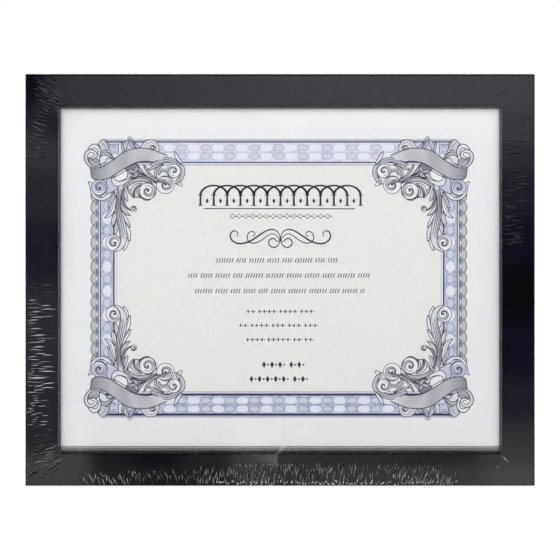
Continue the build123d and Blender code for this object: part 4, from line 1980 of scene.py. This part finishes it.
@dataclass(frozen=True)
class PaleFloor(Finish):
    """Matt floor that is lifted to white for the eye alone, so that it still takes a shadow."""

    tone: float = 0.82
    lift: float = 0.62

    def surface(self, tree: Tree) -> Node:
        """Build the matt face, and add a glow to it where the camera looks at it.

        Args:
            tree: Material's node tree.

        Returns:
            Node with the shader.
        """
        path = add_node(tree, "LightPath")
        matt = add_node(tree, "BsdfDiffuse", {"Color": (self.tone, self.tone, self.tone, 1.0)})
        glow = add_node(tree, "Emission", {"Color": WHITE, "Strength": self.lift})
        lit = add_node(tree, "AddShader", {0: matt, 1: glow})
        return add_node(tree, "MixShader", {0: path.outputs["Is Camera Ray"], 1: matt, 2: lit})


@dataclass(frozen=True)
class LitCard(Finish):
    """Card that glows in the tones of its points."""

    def surface(self, tree: Tree) -> Node:
        """Build the glow.

        Args:
            tree: Material's node tree.

        Returns:
            Node with the shader.
        """
        tone = add_node(tree, "Attribute", attribute_name="tone")
        return add_node(tree, "Emission", {"Color": tone, "Strength": 1.0})


@dataclass(frozen=True)
class BlackCloth(Finish):
    """Cloth that gives back no light."""

    def surface(self, tree: Tree) -> Node:
        """Build the black face.

        Args:
            tree: Material's node tree.

        Returns:
            Node with the shader.
        """
        return add_node(tree, "BsdfDiffuse", {"Color": (0.0, 0.0, 0.0, 1.0)})


@dataclass(frozen=True)
class Spot:
    """A soft patch on the reflector card, at the place of the photograph where the film mirrors it."""

    u: float
    v: float
    wide: float
    high: float
    level: float


@dataclass
class Studio:
    """Floor, lamps, reflector card, flags and camera."""

    camera_distance: float = 500.0
    camera_height: float = 157.3
    front_plane: float = -5.4
    view_width: float = 346.25
    middle_x: float = -0.03
    middle_z: float = 127.24
    sensor: float = 36.0
    view_end: float = 50.0
    soft_light: float = 0.5
    floor_side: float = 8000.0
    # where the lamps hang and face, their side, and their power in watts
    key_place: Place = (-500.0, -2200.0, 700.0)
    fill_place: Place = (500.0, -2200.0, 300.0)
    lamp_aim: Place = (0.0, 0.0, 127.0)
    lamp_side: float = 1000.0
    key_power: float = 25.1
    fill_power: float = 24.1
    card_behind: float = 600.0
    card_half: float = 1500.0
    card_steps: int = 260
    # row of the photograph at the camera's height, and the middle of the card's light
    eye_row: float = 230.98
    card_u: float = 280.0
    card_v: float = 280.0
    # the card's light between its patches, and how steeply a patch falls off
    even_weight: float = 0.02
    even_level: float = 0.03
    fall_off: float = 1.4
    # how far from its middle the card's light ends, and over what length it fades
    light_end: float = 740.0
    light_fade: float = 160.0
    # the same for its blue, which also fades below this row, though not to nothing
    blue_end: float = 450.0
    blue_fade: float = 100.0
    blue_row: float = 455.0
    blue_rows: float = 40.0
    blue_least: float = 0.3
    # how blue the card is: a share of its light, and a share and most of what dark places get on top
    blue_share: float = 0.05
    dark_blue_share: float = 2.5
    dark_blue_most: float = 0.07
    # light at which what dark places get on top is down to half
    bright: float = 0.6
    flag_side: float = 4200.0
    flag_away: float = 1900.0
    flag_ahead: float = 1100.0

    def camera(self) -> None:
        """Set the camera square to the frame, above its middle, and shift the picture down."""
        data = bpy.data.cameras.new("camera")
        data.sensor_width = self.sensor
        data.lens = self.sensor * self.camera_distance / self.view_width
        data.shift_y = (self.middle_z - self.camera_height) / self.view_width
        data.clip_end = self.view_end
        camera = bpy.data.objects.new("camera", data)
        place = (self.middle_x, self.front_plane - self.camera_distance, self.camera_height)
        camera.location = [metres(value) for value in place]
        camera.rotation_euler = (math.radians(90.0), 0.0, 0.0)
        bpy.context.scene.collection.objects.link(camera)
        bpy.context.scene.camera = camera

    def world(self) -> None:
        """Light all round with a soft grey, and show white to the eye, in mirrors and through glass."""
        world = bpy.data.worlds.new("studio_white")
        bpy.context.scene.world = world
        world.use_nodes = True
        tree = world.node_tree
        tree.nodes.clear()
        path = add_node(tree, "LightPath")
        seen = path.outputs["Is Camera Ray"]
        for ray in ("Is Glossy Ray", "Is Transmission Ray"):
            seen = add_node(tree, "Math", {0: seen, 1: path.outputs[ray]}, operation="MAXIMUM")
        soft = add_node(tree, "Background", {"Color": WHITE, "Strength": self.soft_light})
        white = add_node(tree, "Background", {"Color": WHITE, "Strength": 1.0})
        mix = add_node(tree, "MixShader", {0: seen, 1: soft, 2: white})
        add_node(tree, "OutputWorld", {"Surface": mix})

    def lamp(self, name: str, place: Place, power: float) -> None:
        """Hang a square soft lamp that lights matt faces and doesn't show in gloss.

        Args:
            name: Its name.
            place: Its middle, in millimetres.
            power: Its power in watts.
        """
        data = bpy.data.lights.new(name, "AREA")
        data.shape = "SQUARE"
        data.size = metres(self.lamp_side)
        data.energy = power
        lamp = bpy.data.objects.new(name, data)
        lamp.location = [metres(value) for value in place]
        toward = Vector(self.lamp_aim) - Vector(place)
        lamp.rotation_euler = toward.to_track_quat("-Z", "Y").to_euler()
        lamp.visible_glossy = False
        bpy.context.scene.collection.objects.link(lamp)

    def floor(self) -> None:
        """Lay a plain pale floor."""
        deselect()
        bpy.ops.mesh.primitive_grid_add(x_subdivisions=4, y_subdivisions=4, size=metres(self.floor_side))
        floor = bpy.context.object
        floor.name = "studio_floor"
        floor.data.materials.append(PaleFloor("pale_floor").material())
        floor.visible_glossy = False

    def spots(self) -> list[Spot]:
        """List the card's patches, round the frame's face.

        Returns:
            The patches, each with how bright it is.
        """
        rows = (
            # along the top rail
            (30, 86, 18, 27, 0.0), (56, 86, 12, 14, 0.34), (92, 88, 34, 22, 0.38),
            (150, 88, 40, 22, 0.45), (215, 88, 40, 22, 0.53), (300, 88, 50, 22, 0.61),
            (400, 88, 60, 22, 0.63), (500, 90, 50, 22, 0.62),
            # down the left rail
            (40, 112, 20, 12, 0.2), (42, 150, 22, 20, 0.34), (53, 127, 6, 14, 0.08),
            (42, 195, 22, 22, 0.22), (42, 252, 22, 28, 0.1), (42, 300, 22, 20, 0.25),
            (42, 350, 22, 26, 0.26), (42, 415, 22, 22, 0.22), (44, 444, 20, 10, 0.2),
            # along the bottom rail
            (46, 467, 26, 14, 0.62), (74, 464, 14, 22, 0.57), (112, 455, 20, 11, 0.1),
            (112, 475, 20, 11, 0.18), (154, 455, 28, 11, 0.03), (160, 475, 34, 11, 0.13),
            (205, 465, 24, 18, 0.16), (256, 465, 22, 20, 0.52), (296, 465, 22, 20, 0.32),
            (355, 456, 50, 11, 0.27), (355, 476, 50, 11, 0.46), (440, 455, 36, 11, 0.2),
            (445, 477, 36, 11, 0.49), (508, 454, 26, 12, 0.48), (512, 477, 28, 13, 0.74),
            # down the right rail
            (518, 126, 22, 16, 0.47), (518, 156, 22, 16, 0.27), (518, 192, 22, 20, 0.11),
            (518, 238, 22, 24, 0.03), (518, 292, 22, 32, 0.0), (518, 348, 22, 26, 0.03),
            (518, 398, 22, 20, 0.12), (518, 434, 22, 14, 0.33),
        )
        return [Spot(*row) for row in rows]

    def mirrored(self, x: float, z: float) -> Point:
        """Give the place in the photograph at which the film mirrors a place of the card.

        Args:
            x: Place on the card in millimetres.
            z: Place on the card in millimetres.

        Returns:
            Column and row.
        """
        # the film mirrors the card at this many times the frame's own size, about the camera's height
        reach = 1.0 + (self.card_behind + self.camera_distance) / self.camera_distance
        return CENTRE_U + x / reach / PIXEL, self.eye_row - (z - self.camera_height) / reach / PIXEL

    def card_tone(self, u: float, v: float) -> float:
        """Give the card's brightness.

        Args:
            u: Column at which it is mirrored.
            v: Row at which it is mirrored.

        Returns:
            Strength of its glow.
        """
        weights, light = self.even_weight, self.even_weight * self.even_level
        for spot in self.spots():
            off = ((u - spot.u) / spot.wide) ** 2 + ((v - spot.v) / spot.high) ** 2
            weight = math.exp(-off * self.fall_off)
            weights += weight
            light += weight * spot.level
        radius = math.hypot(u - self.card_u, v - self.card_v)
        return light / weights * held((self.light_end - radius) / self.light_fade)

    def card_colour(self, u: float, v: float) -> Colour:
        """Give the card's light: its upper part is cool, the more so where it is dark.

        Args:
            u: Column at which it is mirrored.
            v: Row at which it is mirrored.

        Returns:
            Linear colour of its glow.
        """
        level = self.card_tone(u, v)
        cool = max(held((self.blue_row - v) / self.blue_rows), self.blue_least)
        inside = held((self.blue_end - math.hypot(u - self.card_u, v - self.card_v)) / self.blue_fade)
        dark_blue = min(self.dark_blue_most, self.dark_blue_share * level)
        dark_blue *= 1.0 - 0.5 * held(level / self.bright)
        return level, level, level * (1.0 + self.blue_share * cool) + dark_blue * cool * inside, 1.0

    def card(self) -> None:
        """Stand a large reflector card behind the camera, which only gloss sees."""
        deselect()
        distance = self.front_plane - self.camera_distance - self.card_behind
        bpy.ops.mesh.primitive_grid_add(
            x_subdivisions=self.card_steps,
            y_subdivisions=self.card_steps,
            size=metres(2.0 * self.card_half),
            location=(0.0, metres(distance), metres(self.camera_height)),
            rotation=(math.radians(90.0), 0.0, 0.0),
        )
        card = bpy.context.object
        card.name = "reflector_card"
        bpy.ops.object.transform_apply(location=True, rotation=True, scale=True)
        tone = card.data.color_attributes.new("tone", "FLOAT_COLOR", "POINT")
        for corner, value in zip(card.data.vertices, tone.data):
            place = self.mirrored(corner.co.x / MILLIMETRE, corner.co.z / MILLIMETRE)
            value.color = self.card_colour(*place)
        card.data.materials.append(LitCard("reflector_card").material())
        self.gloss_only(card)

    def gloss_only(self, piece: bpy.types.Object) -> None:
        """Show a studio piece to gloss alone.

        Args:
            piece: Card or flag.
        """
        piece.visible_camera = False
        piece.visible_diffuse = False
        piece.visible_transmission = False
        piece.visible_shadow = False
        piece.visible_volume_scatter = False

    def flags(self) -> None:
        """Hang black cloths left, right, above and below, so that the outer edges mirror dark."""
        y = self.front_plane - self.camera_distance + self.flag_ahead
        for name, x, up, turn in (
            ("flag_left", -self.flag_away, 0.0, 90.0),
            ("flag_right", self.flag_away, 0.0, 90.0),
            ("flag_above", 0.0, self.flag_away, 0.0),
            ("flag_below", 0.0, -self.flag_away, 0.0),
        ):
            deselect()
            bpy.ops.mesh.primitive_plane_add(
                size=metres(self.flag_side),
                location=(metres(x), metres(y), metres(self.camera_height + up)),
                rotation=(0.0, math.radians(turn), 0.0),
            )
            flag = bpy.context.object
            flag.name = name
            flag.data.materials.append(BlackCloth("black_flag").material())
            self.gloss_only(flag)

    def build(self) -> None:
        """Set up the whole studio."""
        bpy.context.scene.view_settings.view_transform = "Standard"
        self.camera()
        self.world()
        self.floor()
        self.lamp("key_lamp", self.key_place, self.key_power)
        self.lamp("fill_lamp", self.fill_place, self.fill_power)
        self.card()
        self.flags()


def main() -> None:
    """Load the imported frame, dress it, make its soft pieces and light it."""
    logging.basicConfig(level=logging.INFO, format="%(message)s")
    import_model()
    Moulding().dress()
    LOG.info("moulding dressed")
    Stack().dress()
    LOG.info("glass, filler and board dressed")
    Easel().dress()
    Hardware().dress()
    LOG.info("easel and hardware dressed")
    Certificate().build()
    LOG.info("certificate printed")
    ShrinkFilm().build()
    LOG.info("film wrapped")
    Studio().build()
    LOG.info("studio set")


if __name__ == "__main__":
    main()
